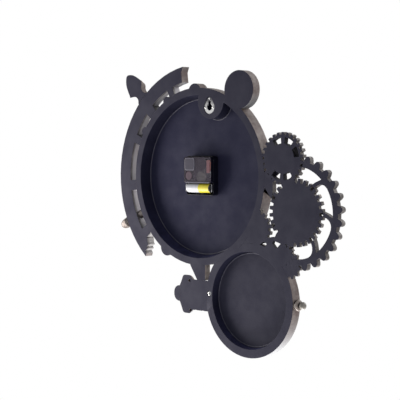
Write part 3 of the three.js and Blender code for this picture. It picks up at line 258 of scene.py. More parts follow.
def seam_marks(piece, node, meets=()):
    # closes the seams against the castings it meets, and notes the edges that stay sharp there
    marks = set()
    for point in piece.data.vertices:
        for other in CASTINGS:
            there = beside(point.co, other) if other != node else None
            if there is None:
                continue
            if other in meets:
                point.co = there
            marks.add(to_micron(point.co))
            break
    return marks


def seam_edge(marks):
    def kept(edge):
        return all(to_micron(point.co) in marks for point in edge.verts)
    return kept


def round_edges(piece, width, segments, wanted):
    mesh = work_on(piece)
    choose(piece, mesh, mesh.edges, wanted)
    bpy.ops.mesh.bevel(offset=width, segments=segments, affect="EDGES", clamp_overlap=False)
    put_down()
    return piece


def soften(piece, width, segments=2, keep=None):
    # rounds every sharp edge but those to keep
    def wanted(edge):
        if len(edge.link_faces) != 2 or abs(edge.calc_face_angle(0)) < SHARP:
            return False
        return not (keep and keep(edge))
    return round_edges(piece, width, segments, wanted)


def sunk_panel(piece, y, border, depth):
    mesh = work_on(piece, "FACE")
    choose(piece, mesh, mesh.faces,
           lambda face: face.normal.y < -0.99 and abs(face.calc_center_median().y - y) < LEVEL)
    bpy.ops.mesh.inset(thickness=border, depth=0, use_even_offset=True, use_boundary=True)
    bpy.ops.mesh.inset(thickness=EDGE, depth=0, use_even_offset=True, use_boundary=True)
    bpy.ops.transform.translate(value=(0, depth, 0))
    put_down()
    return piece


def turned(name, profile, sides, ring=False):
    # a circle drawn out ring by ring; profile is radius and height from foot to tip
    put_down()
    radius, height = profile[0]
    bpy.ops.mesh.primitive_circle_add(vertices=sides, radius=radius, location=(0, 0, height))
    piece = named(bpy.context.object, name)
    bpy.ops.object.transform_apply(location=True)
    bpy.ops.object.mode_set(mode="EDIT")
    bpy.ops.mesh.select_mode(type="EDGE")
    take_all()
    for (r0, h0), (r1, h1) in zip(profile, profile[1:]):
        bpy.ops.mesh.extrude_edges_move(TRANSFORM_OT_translate={"value": (0, 0, h1 - h0)})
        bpy.ops.transform.resize(value=(r1 / r0, r1 / r0, 1))
    if not ring:
        close_up()
    return weld(piece)


def carve(piece, tool):
    pick_up(piece)
    cut = piece.modifiers.new("carve", "BOOLEAN")
    cut.operation = "DIFFERENCE"
    cut.solver = "EXACT"
    cut.object = tool
    bpy.ops.object.modifier_apply(modifier=cut.name)
    put_down()
    drop(tool)
    return piece


def bar(name, size, corner=0.0):
    # a flat bar lying on its back, its corners rounded where asked
    put_down()
    bpy.ops.mesh.primitive_plane_add(size=1)
    piece = named(bpy.context.object, name)
    piece.scale = (size[0], size[1], 1)
    bpy.ops.object.transform_apply(scale=True)
    bpy.ops.object.mode_set(mode="EDIT")
    take_all()
    if corner:
        bpy.ops.mesh.bevel(offset=corner, segments=4, affect="VERTICES")
        take_all()
    bpy.ops.mesh.extrude_region_move(TRANSFORM_OT_translate={"value": (0, 0, size[2])})
    bpy.ops.mesh.inset(thickness=min(size) * 0.2, depth=min(size) * 0.2)
    close_up()
    return weld(piece)


def copies(model, name, places):
    # the model laid out at every place, turned about the dial's axis where a turn is given
    made = []
    for place in places:
        one = lay_out(model.copy())
        one.data = model.data.copy()
        one.location = place[:3]
        if len(place) > 3:
            one.rotation_euler = (0, place[3], 0)
        made.append(one)
    drop(model)
    return gather(made, name)


def gather(pieces, name):
    put_down()
    for piece in pieces:
        piece.select_set(True)
    bpy.context.view_layer.objects.active = pieces[0]
    bpy.ops.object.join()
    bpy.ops.object.transform_apply(location=True, rotation=True, scale=True)
    piece = named(bpy.context.object, name)
    put_down()
    return piece


def drop(piece):
    mesh = piece.data
    bpy.data.objects.remove(piece)
    bpy.data.meshes.remove(mesh)


def coat(piece, finishes, pick=None):
    # pick gives the number of a face's finish, or says whether it takes the second one
    piece.data.materials.clear()
    for coating in finishes:
        piece.data.materials.append(coating)
    for face in piece.data.polygons:
        face.material_index = int(pick(face.normal, face.center)) if pick else 0
    return piece


def fit(piece, nodes=(), body="clock"):
    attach(piece, body)
    if nodes:
        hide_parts(*nodes)
    return piece


def complete(piece, slot, finishes, pick=None, nodes=(), body="clock", angle=SHARP):
    coat(piece, finishes, pick)
    return fit(smooth(piece, angle), nodes, body)


def around(centre, radius, count, y, start=0.0, sweep=2 * pi):
    # places on a ring, each with its turn
    turns = [start + sweep * i / count for i in range(count)]
    return [on_ring(centre, radius, turn, y) + (-turn,) for turn in turns]


# Finishes: node groups shared by several of them, then the finishes themselves

def put(tree, kind, setup=None, **sockets):
    # sockets go by name, or by number as _0 and _1
    made = tree.nodes.new("ShaderNode" + kind)
    for key, value in (setup or {}).items():
        setattr(made, key, value)
    for key, value in sockets.items():
        plug = made.inputs[int(key[1:])] if key[0] == "_" else made.inputs[key.replace("_", " ")]
        if isinstance(value, bpy.types.NodeSocket):
            tree.links.new(value, plug)
        else:
            plug.default_value = value
    return made


def sums(tree, operation, first, second, clamp=False):
    return put(tree, "Math", {"operation": operation, "use_clamp": clamp}, _0=first, _1=second).outputs[0]


def blend(tree, first, second, share):
    return sums(tree, "ADD", sums(tree, "MULTIPLY", first, share), sums(tree, "MULTIPLY", second, 1 - share))


def stretch(tree, value, low, high, to_low=0.0, to_high=1.0):
    made = put(tree, "MapRange", {"clamp": True}, _0=value, _1=low, _2=high, _3=to_low, _4=to_high)
    return made.outputs[0]


def noise(tree, spot, scale, detail, rough=0.5):
    return put(tree, "TexNoise", Vector=spot, Scale=scale, Detail=detail, Roughness=rough).outputs[0]


def part(tree, vector, axis):
    return put(tree, "SeparateXYZ", Vector=vector).outputs[axis]


def apart(tree, spot, centre):
    return put(tree, "VectorMath", {"operation": "DISTANCE"}, _0=spot, _1=centre).outputs["Value"]


def looking_up(tree, low, high):
    # from 0 to 1 while the upward part of a face's direction goes from low to high
    return stretch(tree, part(tree, put(tree, "NewGeometry").outputs["Normal"], "Z"), low, high)


def rgb(red, green, blue):
    def flat(level):
        share = level / 255
        return share / 12.92 if share <= 0.04045 else ((share + 0.055) / 1.055) ** 2.4
    return (flat(red), flat(green), flat(blue), 1.0)


def mixed(tree, share, first, second):
    # a tone is a socket, three levels from 0 to 255, or a ready colour of four values
    tones = [rgb(*tone) if isinstance(tone, tuple) and len(tone) == 3 else tone for tone in (first, second)]
    return put(tree, "Mix", {"data_type": "RGBA"}, _0=share, _6=tones[0], _7=tones[1]).outputs[2]


def effect(name, inputs, outputs):
    tree = bpy.data.node_groups.new(name, "ShaderNodeTree")
    tree.interface.new_socket(name="Vector", in_out="INPUT", socket_type="NodeSocketVector")
    for label, value in inputs:
        socket = tree.interface.new_socket(name=label, in_out="INPUT", socket_type="NodeSocketFloat")
        socket.default_value = value
    for label in outputs:
        tree.interface.new_socket(name=label, in_out="OUTPUT", socket_type="NodeSocketFloat")
    return tree, tree.nodes.new("NodeGroupInput").outputs, tree.nodes.new("NodeGroupOutput").inputs


def mottle_effect():
    tree, given, out = effect("mottle", [("Patch", 40), ("Grain", 900)], ["Tone", "Height"])
    patch = noise(tree, given["Vector"], given["Patch"], 5.0, 0.6)
    grain = noise(tree, given["Vector"], given["Grain"], 2.0)
    tree.links.new(stretch(tree, blend(tree, patch, grain, 0.75), 0.36, 0.64), out["Tone"])
    tree.links.new(grain, out["Height"])
    return tree


def masked(tree, first, second, given, out):
    mask = sums(tree, "MULTIPLY", sums(tree, "MULTIPLY", first, second), given["Amount"], True)
    tree.links.new(mask, out["Mask"])
    return tree


def wear_effect():
    tree, given, out = effect("edge_wear", [("Amount", 1), ("Break", 110)], ["Mask"])
    edge = stretch(tree, put(tree, "NewGeometry").outputs["Pointiness"], 0.515, 0.6)
    broken = stretch(tree, noise(tree, given["Vector"], given["Break"], 4.0), 0.35, 0.65)
    return masked(tree, edge, broken, given, out)


# dust on faces that look up, in drifts; the recess walls use it with a navy tone as painted light from above
def dust_effect():
    tree, given, out = effect("dust_and_top_light", [("Amount", 0.2)], ["Mask"])
    lies = looking_up(tree, 0.2, 0.95)
    drift = noise(tree, given["Vector"], 70.0, 5.0)
    return masked(tree, lies, drift, given, out)


def brush_effect():
    tree, given, out = effect("brush_marks", [("Across", 40), ("Along", 900)], ["Tone", "Height"])
    scale = put(tree, "CombineXYZ", X=given["Across"], Y=given["Along"], Z=given["Across"])
    laid = put(tree, "VectorMath", {"operation": "MULTIPLY"}, _0=given["Vector"], _1=scale.outputs[0])
    marks = noise(tree, laid.outputs[0], 1.0, 6.0, 0.7)
    tree.links.new(stretch(tree, marks, 0.3, 0.7), out["Tone"])
    tree.links.new(marks, out["Height"])
    return tree


MOTTLE = mottle_effect()
WEAR = wear_effect()
DUST_AND_TOP_LIGHT = dust_effect()
BRUSH = brush_effect()


def use(tree, effect_tree, spot, **values):
    made = tree.nodes.new("ShaderNodeGroup")
    made.node_tree = effect_tree
    tree.links.new(spot, made.inputs["Vector"])
    for key, value in values.items():
        made.inputs[key].default_value = value
    return made.outputs


SHADER = "Principled BSDF"


def finish(name, **fixed):
    material = bpy.data.materials.new(name)
    material.use_nodes = True
    tree = material.node_tree
    for key, value in fixed.items():
        tree.nodes[SHADER].inputs[key.replace("_", " ")].default_value = value
    return material, tree, put(tree, "TexCoord").outputs["Object"]


CAST_GRAIN = 0.3 * MM
FINE_GRAIN = 0.1 * MM


def lay_on(material, colour, share, rough, height, relief, grain=FINE_GRAIN):
    # the colour, how rough it is from one end of the share to the other, and its fine relief
    tree = material.node_tree
    plugs = tree.nodes[SHADER].inputs
    tree.links.new(colour, plugs["Base Color"])
    tree.links.new(stretch(tree, share, 0, 1, *rough), plugs["Roughness"])
    made = put(tree, "Bump", Height=height, Strength=relief, Distance=grain)
    tree.links.new(made.outputs[0], plugs["Normal"])
    return material


# the dust amount and its tone are real dust on the fronts, and painted light on the upward recess walls
def paint(name, deep, pale, worn, rough, metal=0.0, gloss=0.5, wear=0.5, dust_and_top_light=0.0, patch=40, dust_and_light_tone=(150, 146, 140)):
    material, tree, spot = finish(name, Metallic=metal, Specular_IOR_Level=gloss)
    tone, height = use(tree, MOTTLE, spot, Patch=patch, Grain=900)
    colour = mixed(tree, tone, deep, pale)
    if worn:
        colour = mixed(tree, use(tree, WEAR, spot, Amount=wear)["Mask"], colour, worn)
    if dust_and_top_light:
        colour = mixed(tree, use(tree, DUST_AND_TOP_LIGHT, spot, Amount=dust_and_top_light)["Mask"], colour, dust_and_light_tone)
    return lay_on(material, colour, tone, (rough + 0.08, rough - 0.08), height, 0.12, CAST_GRAIN)


def streaked(name, deep, pale, worn, rough, metal, lit_from_below=None, lit_towards_front=None, shaded_on_top=None):
    # the last three tones go, in order, to faces that look down (painted light from below), towards the front (painted
    # light coming in from the front) and to faces that look up (painted shade)
    material, tree, spot = finish(name, Metallic=metal, Specular_IOR_Level=0.3)
    streak = use(tree, BRUSH, spot, Across=60, Along=14)["Tone"]
    grain, height = use(tree, MOTTLE, spot, Patch=55, Grain=1100)
    share = blend(tree, streak, grain, 0.65)
    colour = mixed(tree, share, deep, pale)
    colour = mixed(tree, use(tree, WEAR, spot, Amount=0.8)["Mask"], colour, worn)
    if lit_from_below:
        colour = mixed(tree, looking_up(tree, -0.15, -0.75), colour, lit_from_below)
    if lit_towards_front:
        colour = mixed(tree, stretch(tree, part(tree, spot, "Y"), -2.5 * MM, -5.5 * MM), colour, lit_towards_front)
    if shaded_on_top:
        colour = mixed(tree, looking_up(tree, 0.45, 0.6), colour, shaded_on_top)
    return lay_on(material, colour, share, (rough + 0.12, rough - 0.1), height, 0.15, CAST_GRAIN)


def bare_metal(name, bright, tarnish, rough):
    material, tree, spot = finish(name, Metallic=1.0)
    marks, height = use(tree, BRUSH, spot, Across=300, Along=300)
    patch = use(tree, MOTTLE, spot, Patch=90, Grain=1400)["Tone"]
    colour = mixed(tree, patch, tarnish, bright)
    return lay_on(material, colour, marks, (rough - 0.06, rough + 0.1), height, 0.06)


def tarnished(name, bright, shaded_top, low, high):
    # bare metal that goes from bright at low to dark at high: a painted highlight below and painted shade above
    material, tree, spot = finish(name, Metallic=1.0)
    marks, height = use(tree, BRUSH, spot, Across=300, Along=300)
    level = stretch(tree, part(tree, spot, "Z"), low, high)
    share = sums(tree, "ADD", level, sums(tree, "MULTIPLY", marks, 0.25), True)
    return lay_on(material, mixed(tree, share, bright, shaded_top), share, (0.2, 0.38), height, 0.06)


def dial_paper(name, centre, reach):
    material, tree, spot = finish(name, Specular_IOR_Level=0.3)
    tone, height = use(tree, MOTTLE, spot, Patch=26, Grain=700)
    edge = sums(tree, "MULTIPLY", stretch(tree, apart(tree, spot, centre), reach * 0.55, reach * 1.05), tone)
    colour = mixed(tree, tone, (205, 190, 156), (224, 212, 184))
    colour = mixed(tree, edge, colour, (140, 108, 66))
    return lay_on(material, colour, tone, (0.7, 0.5), height, 0.08)


def moulded(name, deep, pale, rough, alpha=1.0):
    material, tree, spot = finish(name, Alpha=alpha, Specular_IOR_Level=0.15)
    tone, height = use(tree, MOTTLE, spot, Patch=120, Grain=1600)
    colour = mixed(tree, tone, deep, pale)
    return lay_on(material, colour, tone, (rough + 0.05, rough - 0.05), height, 0.05)


def wound_wire(name):
    material, tree, spot = finish(name, Metallic=0.7)
    bands = {"wave_type": "BANDS", "bands_direction": "Z"}
    turns = put(tree, "TexWave", bands, Vector=spot, Scale=700.0, Distortion=0.4).outputs[1]
    return lay_on(material, mixed(tree, turns, (110, 48, 30), (206, 112, 78)), turns, (0.5, 0.3), turns, 0.5)


def green_board(name):
    material, tree, spot = finish(name, Specular_IOR_Level=0.4)
    tracks = put(tree, "TexBrick", Vector=spot, Scale=420.0, Mortar_Size=0.03).outputs[1]
    tone = use(tree, MOTTLE, spot, Patch=200, Grain=1500)["Tone"]
    colour = mixed(tree, tone, (24, 74, 44), (34, 98, 58))
    colour = mixed(tree, tracks, colour, (70, 136, 84))
    return lay_on(material, colour, tone, (0.5, 0.36), tracks, 0.2, FINE_GRAIN / 2)


def cell_jacket(name, split, ring):
    # a white half, a yellow half and a dark band at the button end, split along the cell
    material, tree, spot = finish(name, Specular_IOR_Level=0.5)
    tone, height = use(tree, MOTTLE, spot, Patch=150, Grain=1500)

    def beyond(place):
        return stretch(tree, part(tree, spot, "X"), place - 0.1 * MM, place + 0.1 * MM)
    white = mixed(tree, tone, (196, 196, 200), (210, 210, 214))
    yellow = mixed(tree, tone, (206, 190, 34), (222, 208, 52))
    colour = mixed(tree, beyond(split), yellow, white)
    colour = mixed(tree, beyond(ring), (26, 26, 28), colour)
    return lay_on(material, colour, tone, (0.42, 0.32), height, 0.04)


CHARCOAL = paint("charcoal_back", (48, 47, 60), (52, 51, 64), None, 0.74, gloss=0.1)
# darker, bluer charcoal for the main recess floor: painted shade of the recess
RECESS_SHADE = paint("recess_charcoal_painted_shade", (37, 37, 57), (41, 41, 61), None, 0.74, gloss=0.1)
# near-black for the recess walls, the keyhole and the screw slots: painted shade; its dust mask with a navy tone
# lightens the walls that look up, painted light from above in a dust pattern
RECESS_WALL_SHADE = paint("recess_wall_painted_shade", (22, 22, 38), (28, 28, 44), (50, 49, 55), 0.78, gloss=0.08, wear=0.2,
                    dust_and_top_light=0.9, dust_and_light_tone=(64, 64, 98))
# lighter than the back charcoal, with lighter worn crests: the painted highlight of the bead line along the recess
# floors
BEAD_HIGHLIGHT = paint("bead_painted_highlight", (64, 63, 76), (74, 73, 86), (104, 102, 108), 0.62, gloss=0.2, wear=0.4)
# darker than the back charcoal, for gear hole walls, the window plate and the gear caps' steps and sides: charcoal
# paint with painted shade of the holes and grooves
HOLE_WALL_SHADE = paint("hole_wall_painted_shade", (36, 35, 40), (48, 46, 50), (84, 80, 78), 0.7, gloss=0.15, wear=0.3)
# the lighter neutral tone on faces that look down is painted light from below
SILVER_SIDE = streaked("bronzed_side", (80, 67, 64), (128, 114, 110), (172, 164, 158), 0.55, 0.1,
                       lit_from_below=(128, 127, 128))
GEAR_SIDE = streaked("gear_side", (60, 55, 54), (126, 119, 116), (172, 167, 163), 0.55, 0.1)
# lighter towards the front, painted light coming in through the slot; near-black where faces look up, painted shade
SLOT_WALL = streaked("slot_wall", (66, 63, 66), (104, 100, 102), (180, 176, 172), 0.5, 0.1,
                     lit_towards_front=(186, 183, 187), shaded_on_top=(26, 24, 30))
# lighter towards the front: painted light coming in through the notch
NOTCH_WALL = streaked("notch_wall", (92, 89, 89), (134, 130, 128), (180, 176, 172), 0.5, 0.1, lit_towards_front=(152, 149, 148))
FRONT_BRONZE = paint("antique_bronze", (70, 50, 36), (126, 96, 66), (190, 154, 104), 0.4,
                     metal=0.75, wear=1.0, dust_and_top_light=0.15, patch=30)
FRONT_COPPER = paint("aged_copper", (92, 52, 36), (160, 96, 64), (212, 150, 108), 0.4,
                     metal=0.8, wear=1.0, dust_and_top_light=0.15, patch=34)
FRONT_IRON = paint("blackened_iron", (44, 42, 43), (74, 70, 68), (140, 128, 116), 0.48,
                   metal=0.6, wear=0.9, dust_and_top_light=0.15, patch=28)
FRONT_BRASS = paint("aged_brass", (110, 80, 38), (176, 138, 74), (226, 192, 124), 0.36,
                    metal=0.85, wear=1.0, dust_and_top_light=0.12, patch=36)
CHROME = bare_metal("bright_chrome", (196, 196, 196), (120, 120, 122), 0.16)
STEEL = bare_metal("satin_steel", (196, 196, 200), (150, 150, 154), 0.34)
BRASS = bare_metal("satin_brass", (206, 168, 96), (146, 108, 56), 0.34)
# very dark brown for the tie rod in its slot, the crown collar's groove and the crown ball's foot: painted shade
STUD_SHADE_BROWN = streaked("stud_brown_painted_shade", (26, 21, 22), (48, 40, 40), (60, 53, 52), 0.62, 0.1)
STUD_PALE = streaked("stud_pale", (84, 75, 72), (124, 114, 109), (176, 166, 160), 0.42, 0.3)
# lighter than the stud finish, making up for the lamp light the crown lacks: painted light
CROWN_SILVER_LIT = paint("crown_silver_painted_light", (118, 106, 98), (138, 126, 118), (190, 180, 172), 0.42, wear=0.3)
CROWN_BALL_LIT = paint("crown_ball", (122, 116, 108), (140, 134, 126), (150, 142, 134), 0.36, wear=0.3)
NUMERAL_INK = paint("numeral_ink", (26, 22, 20), (40, 34, 30), (70, 60, 52), 0.5, wear=0.4)
HAND_BLACK = paint("hand_black", (18, 18, 20), (30, 29, 30), (96, 84, 70), 0.36, metal=0.4, wear=0.8)
HAND_RED = paint("hand_red", (118, 30, 22), (146, 42, 30), (190, 100, 80), 0.4, wear=0.5)
BLACK_CASE = moulded("black_case", (11, 11, 22), (18, 18, 30), 0.38)
SMOKED = moulded("smoked_cover", (66, 59, 72), (78, 71, 84), 0.3, alpha=0.42)
SMOKED_PANEL = moulded("smoked_panel", (54, 51, 64), (62, 59, 72), 0.32)
# light grey lines on the rear cover: painted highlights of the panel's rim and the cover's lower edge
SMOKED_HIGHLIGHT = moulded("smoked_painted_highlight", (108, 106, 117), (122, 120, 131), 0.36)
COIL_WINDOW = moulded("coil_window", (100, 66, 72), (114, 78, 84), 0.34)
KNOB_BROWN = moulded("knob_brown", (64, 47, 60), (76, 58, 71), 0.45)
NYLON = moulded("white_nylon", (172, 170, 160), (192, 190, 180), 0.45)
RUBBER = moulded("gasket_rubber", (18, 18, 19), (30, 30, 31), 0.8)
WIRE = wound_wire("copper_winding")
BOARD = green_board("green_board")
DIAL_PAPER = dial_paper("dial_paper", DIAL, DIAL_R)
LOW_PAPER = dial_paper("lower_dial_paper", LOW, LOW_DIAL_R)
EAR_PAPER = dial_paper("ear_dial_paper", EAR, EAR_DIAL_R)


# Camera, light and floor

AIM = Vector((18.45 * MM, 0, -147.7 * MM))
AZIMUTH, ELEVATION, REACH = radians(223.7), radians(2.4), 1.867
LENS, SENSOR = 112.5, 36
FLOOR = Vector((DIAL.x, 0, cad_low.z - 0.4))
FLOOR_R, FADE_FROM, FADE_TO = 1.25, 0.5, 1.2


def stand(thing, place, way):
    thing.location = place
    thing.rotation_mode = "QUATERNION"
    thing.rotation_quaternion = way.to_track_quat("-Z", "Y")


def set_camera():
    lens = bpy.data.cameras.new("photo_camera")
    lens.sensor_width = SENSOR
    lens.lens = LENS
    camera = lay_out(bpy.data.objects.new("photo_camera", lens))
    back = Vector((sin(AZIMUTH) * cos(ELEVATION), -cos(AZIMUTH) * cos(ELEVATION), sin(ELEVATION)))
    stand(camera, AIM + back * REACH, -back)
    bpy.context.scene.camera = camera


def soft_lamp(name, place, size, power, colour=(1, 1, 1)):
    data = bpy.data.lights.new(name, "AREA")
    data.shape = "RECTANGLE"
    data.size, data.size_y = size
    data.energy = power
    data.color = colour
    stand(lay_out(bpy.data.objects.new(name, data)), place, AIM - Vector(place))


def set_light():
    soft_lamp("side_box", (-1.25, 0.05, 0.1), (1.0, 1.4), 3.5, (1, 0.98, 0.97))
    soft_lamp("low_box", (-0.11, -0.04, -0.72), (0.45, 0.3), 6)
    soft_lamp("back_box", (0.6, 0.26, -0.38), (0.3, 0.7), 9, (1, 0.97, 0.92))
    soft_lamp("dial_box", (-0.5, -1.3, 0.6), (1.2, 1.2), 11)
    world = bpy.data.worlds.new("white_studio")
    bpy.context.scene.world = world
    world.use_nodes = True
    tree = world.node_tree
    tree.nodes.clear()
    # white where it is seen, mirrored or shines through, dimmer and cooler as light
    path = put(tree, "LightPath").outputs
    seen = sums(tree, "MAXIMUM", path["Is Camera Ray"], path["Is Glossy Ray"])
    seen = sums(tree, "MAXIMUM", seen, path["Is Transmission Ray"])
    level = stretch(tree, seen, 0, 1, 0.3, 1.0)
    tint = mixed(tree, seen, (0.84, 0.9, 1, 1), (1, 1, 1, 1))
    sky = put(tree, "Background", Color=tint, Strength=level)
    out = tree.nodes.new("ShaderNodeOutputWorld")
    tree.links.new(sky.outputs[0], out.inputs["Surface"])


def lay_floor():
    put_down()
    bpy.ops.mesh.primitive_circle_add(vertices=96, radius=FLOOR_R, fill_type="NGON", location=FLOOR)
    floor = bpy.context.object
    floor.name = "studio_floor"
    bpy.ops.object.transform_apply(location=True)
    material, tree, spot = finish("pale_floor", Base_Color=(0.86, 0.86, 0.86, 1), Roughness=0.9)
    far = stretch(tree, apart(tree, spot, FLOOR), FADE_FROM, FADE_TO)
    clear = put(tree, "BsdfTransparent")
    fade = put(tree, "MixShader", _0=far, _1=tree.nodes[SHADER].outputs[0], _2=clear.outputs[0])
    tree.links.new(fade.outputs[0], tree.nodes["Material Output"].inputs["Surface"])
    floor.data.materials.append(material)


# The castings

FLUSH_Y = -0.12 * MM
SMALL_GEAR_DEEPER = 2.8 * MM
FINIAL_LEAN = 5 * MM
SCALLOP_RING = 130.8 * MM
SCALLOP_TURNS = radians(60.5), radians(31.4)
WINDOW_RING, WINDOW_TURN = 26 * MM, radians(159.5)
BAND_HOLES = (DIAL + offset(112, -101), 21 * MM, NOTCH_WALL), (DIAL, 147 * MM, SLOT_WALL)
HUB_HOLES = (SMALL, 32 * MM, HOLE_WALL_SHADE),
WEB_HOLES = (BIG + offset(36, -46), 11 * MM, HOLE_WALL_SHADE), (LOW + offset(-29.6, 84), 8 * MM, HOLE_WALL_SHADE)
BRONZE = "casting_bronze", FRONT_BRONZE
COPPER = "casting_copper", FRONT_COPPER


def back_and_side(front, side=None):
    # charcoal back, side and front, told apart by where a face looks
    def pick(normal, centre):
        if normal.y > FACING:
            return 0
        return 2 if normal.y < -FACING else 1
    return [CHARCOAL, side or SILVER_SIDE, front], pick


def recessed_case(node, round_of, radius, floor, dark):
    piece = casting(node, node + "_casting")
    marks = seam_marks(piece, node, ["main_case"])
    soften(piece, EDGE, keep=seam_edge(marks))
    finishes, pick = back_and_side(FRONT_IRON)

    def pick_all(normal, centre):
        sunk = centre.y < -0.5 * MM
        # the keyhole's sunk faces and the recess walls take the near-black wall finish, painted shade; the recess floor
        # takes the floor finish
        if sunk and node == "main_case" and flat_reach(centre, KEYHOLE) < KEYHOLE_R:
            return 4
        if sunk and flat_reach(centre, round_of) < radius - 0.2 * MM and centre.y > floor - 0.2 * MM:
            return 3 if normal.y > 0.5 else 4
        return pick(normal, centre)
    return complete(piece, "casting_dark", finishes + [dark, RECESS_WALL_SHADE], pick_all, [node])


def plain_casting(node, slot, front, border=None, depth=0.0, holes=(), side=None, meets=(), front_move=None):
    # holes are round places, each its centre, its radius and the finish of the walls in it;
    # front_move gives each point of the front face its way from where the solid has it
    piece = casting(node, node + "_casting")
    if front_move:
        face = front_of(node) + LEVEL
        for point in piece.data.vertices:
            if point.co.y < face:
                point.co += front_move(point.co)
    marks = seam_marks(piece, node, ["main_case", "lower_case"] + list(meets))
    if border:
        sunk_panel(piece, front_of(node), border, depth)
    soften(piece, EDGE, keep=seam_edge(marks))
    finishes, pick = back_and_side(front, side)

    def pick_all(normal, centre):
        for index, (place, reach, wall) in enumerate(holes):
            if abs(normal.y) < FACING and flat_reach(centre, place) < reach:
                return 3 + index
        return pick(normal, centre)
    return complete(piece, slot, finishes + [wall for place, reach, wall in holes], pick_all, [node])


def small_gear_depth(spot):
    # the small gear's teeth reach as deep as the big gear's
    return Vector((0, -SMALL_GEAR_DEEPER, 0))


def finial_lean(spot):
    # the finial's front leans in along both shoulders, which mirror each other across its slanted axis
    crest = middle_of("finial")
    off_x, off_z = (spot.x - crest.x) / MM, (spot.z - crest.z) / MM

    def lean(across, up):
        return min(max((up - 6.7) / 8, 0), 1) * min(max((17 - across) / 12, 0), 1)
    return Vector((FINIAL_LEAN, 0, -FINIAL_LEAN)) * (lean(off_x, off_z) - lean(off_z, off_x))


def make_castings():
    # the main recess floor takes the darker recess finish, painted shade
    recessed_case("main_case", DIAL, RECESS_R, RECESS_Y, RECESS_SHADE)
    recessed_case("lower_case", LOW, LOW_RECESS_R, LOW_RECESS_Y, CHARCOAL)
    plain_casting("slotted_arc", *BRONZE, border=1.8 * MM, depth=BAND_PANEL, holes=BAND_HOLES)
    plain_casting("finial", *BRONZE, meets=["slotted_arc"], front_move=finial_lean)
    plain_casting("ear_case", *BRONZE)
    plain_casting("big_gear", *BRONZE, side=GEAR_SIDE)
    plain_casting("middle_gear", *COPPER, side=GEAR_SIDE, meets=["big_gear"])
    plain_casting("small_gear", *COPPER, holes=HUB_HOLES, side=GEAR_SIDE, meets=["big_gear", "middle_gear"],
                  front_move=small_gear_depth)
    plain_casting("idler_gear", *BRONZE, holes=WEB_HOLES, side=GEAR_SIDE,
                  meets=["big_gear", "middle_gear", "small_gear"])
    plain_casting("lower_pinion", *COPPER, side=GEAR_SIDE, meets=["big_gear", "middle_gear", "idler_gear"])
    plain_casting("link_strap", *BRONZE, meets=["valve_body"])


def make_pinion_wheel():
    # the toothed wheel that the lower pinion carries, half hidden by the big gear and the lower case
    teeth, root, tip, thick = 11, 15.4 * MM, 19.2 * MM, 5.2 * MM
    put_down()
    bpy.ops.mesh.primitive_circle_add(vertices=4 * teeth, radius=root, fill_type="NGON")
    wheel = named(bpy.context.object, "pinion_wheel")
    mesh = work_on(wheel, "VERT")
    choose(wheel, mesh, mesh.verts, lambda point: point.index % 4 in (1, 2))
    bpy.ops.transform.resize(value=(tip / root, tip / root, 1))
    take_all()
    bpy.ops.mesh.extrude_region_move(TRANSFORM_OT_translate={"value": (0, 0, thick)})
    take_all()
    bpy.ops.mesh.normals_make_consistent(inside=False)
    put_down()
    soften(wheel, 0.3 * MM)
    pinion = middle_of("lower_pinion")
    settle(wheel, (pi / 2, radians(8), 0), (pinion.x - 7.2 * MM, -0.1 * MM, pinion.z - 14.8 * MM))
    return complete(wheel, "casting_copper", *back_and_side(FRONT_COPPER, GEAR_SIDE))


def make_web_fillet():
    # closes the small corner left between the two cases and the idler's web
    fillet = bar("web_fillet", (13 * MM, 6 * MM, 3 * MM), 1 * MM)
    settle(fillet, TO_FRONT, (LOW.x + 3.5 * MM, FLUSH_Y, LOW.z + 84 * MM))
    return complete(fillet, "casting_dark", [CHARCOAL])


def make_rim_scallops():
    # round shoulders of the rim that narrow the band's two upper slots
    places = [on_ring(DIAL, SCALLOP_RING, turn, FLUSH_Y) for turn in SCALLOP_TURNS]
    shoulder = settle(turned("shoulder", mm([(7, 0), (7.4, 0.3), (7.4, 3.6), (7, 4)]), 40), TO_FRONT)
    return complete(copies(shoulder, "rim_scallops", places), "casting_dark", *back_and_side(FRONT_IRON))


def bead(name, centre, radius, y, within, half=0.9 * MM):
    # a rounded ring on a recess's floor, without what lies outside the floor; its lighter bead paint is a painted
    # highlight
    section = [(-1, -0.4), (-1, 0), (-0.7, 0.55), (0, 0.85), (0.7, 0.55), (1, 0), (1, -0.4), (-1, -0.4)]
    ring = turned(name, [(radius + out * half, up * half) for out, up in section], 128, ring=True)
    settle(ring, TO_REAR, at(centre, y))
    mesh = work_on(ring, "VERT")
    choose(ring, mesh, mesh.verts, lambda point: flat_reach(point.co, within[0]) > within[1] + 0.8 * MM)
    bpy.ops.mesh.delete(type="VERT")
    close_up()
    return complete(weld(ring), "casting_dark", [BEAD_HIGHLIGHT], angle=BEAD_SHARP)


def make_beads():
    main_floor = (DIAL, RECESS_FLOOR_R)
    bead("recess_bead", DIAL, RECESS_FLOOR_R - 1.6 * MM, RECESS_Y, main_floor)
    bead("pad_bead", PAD, PAD_R + 1.4 * MM, RECESS_Y, main_floor)
    bead("lower_recess_bead", LOW, LOW_FLOOR_R - 1.4 * MM, LOW_RECESS_Y, (LOW, LOW_FLOOR_R), 0.8 * MM)


# Turned pieces, their profiles in millimetres

DIAL_SIDES, STUD_SIDES = 160, 48


def lathe(name, profile, sides, turn, place, slot, finishes, pick=None, nodes=(), body="clock", angle=TURNED_SHARP,
          ring=False):
    piece = settle(turned(name, mm(profile), sides, ring), turn, place)
    return complete(piece, slot, finishes, pick, nodes, body, angle)


def seat_of(node):
    return at(middle_of(node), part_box(node)[1].y)


def bezel(node, section, sides):
    return lathe(node + "_turned", section, sides, TO_FRONT, seat_of(node), "casting_bronze", [FRONT_BRASS],
                 nodes=[node], angle=BEZEL_SHARP, ring=True)


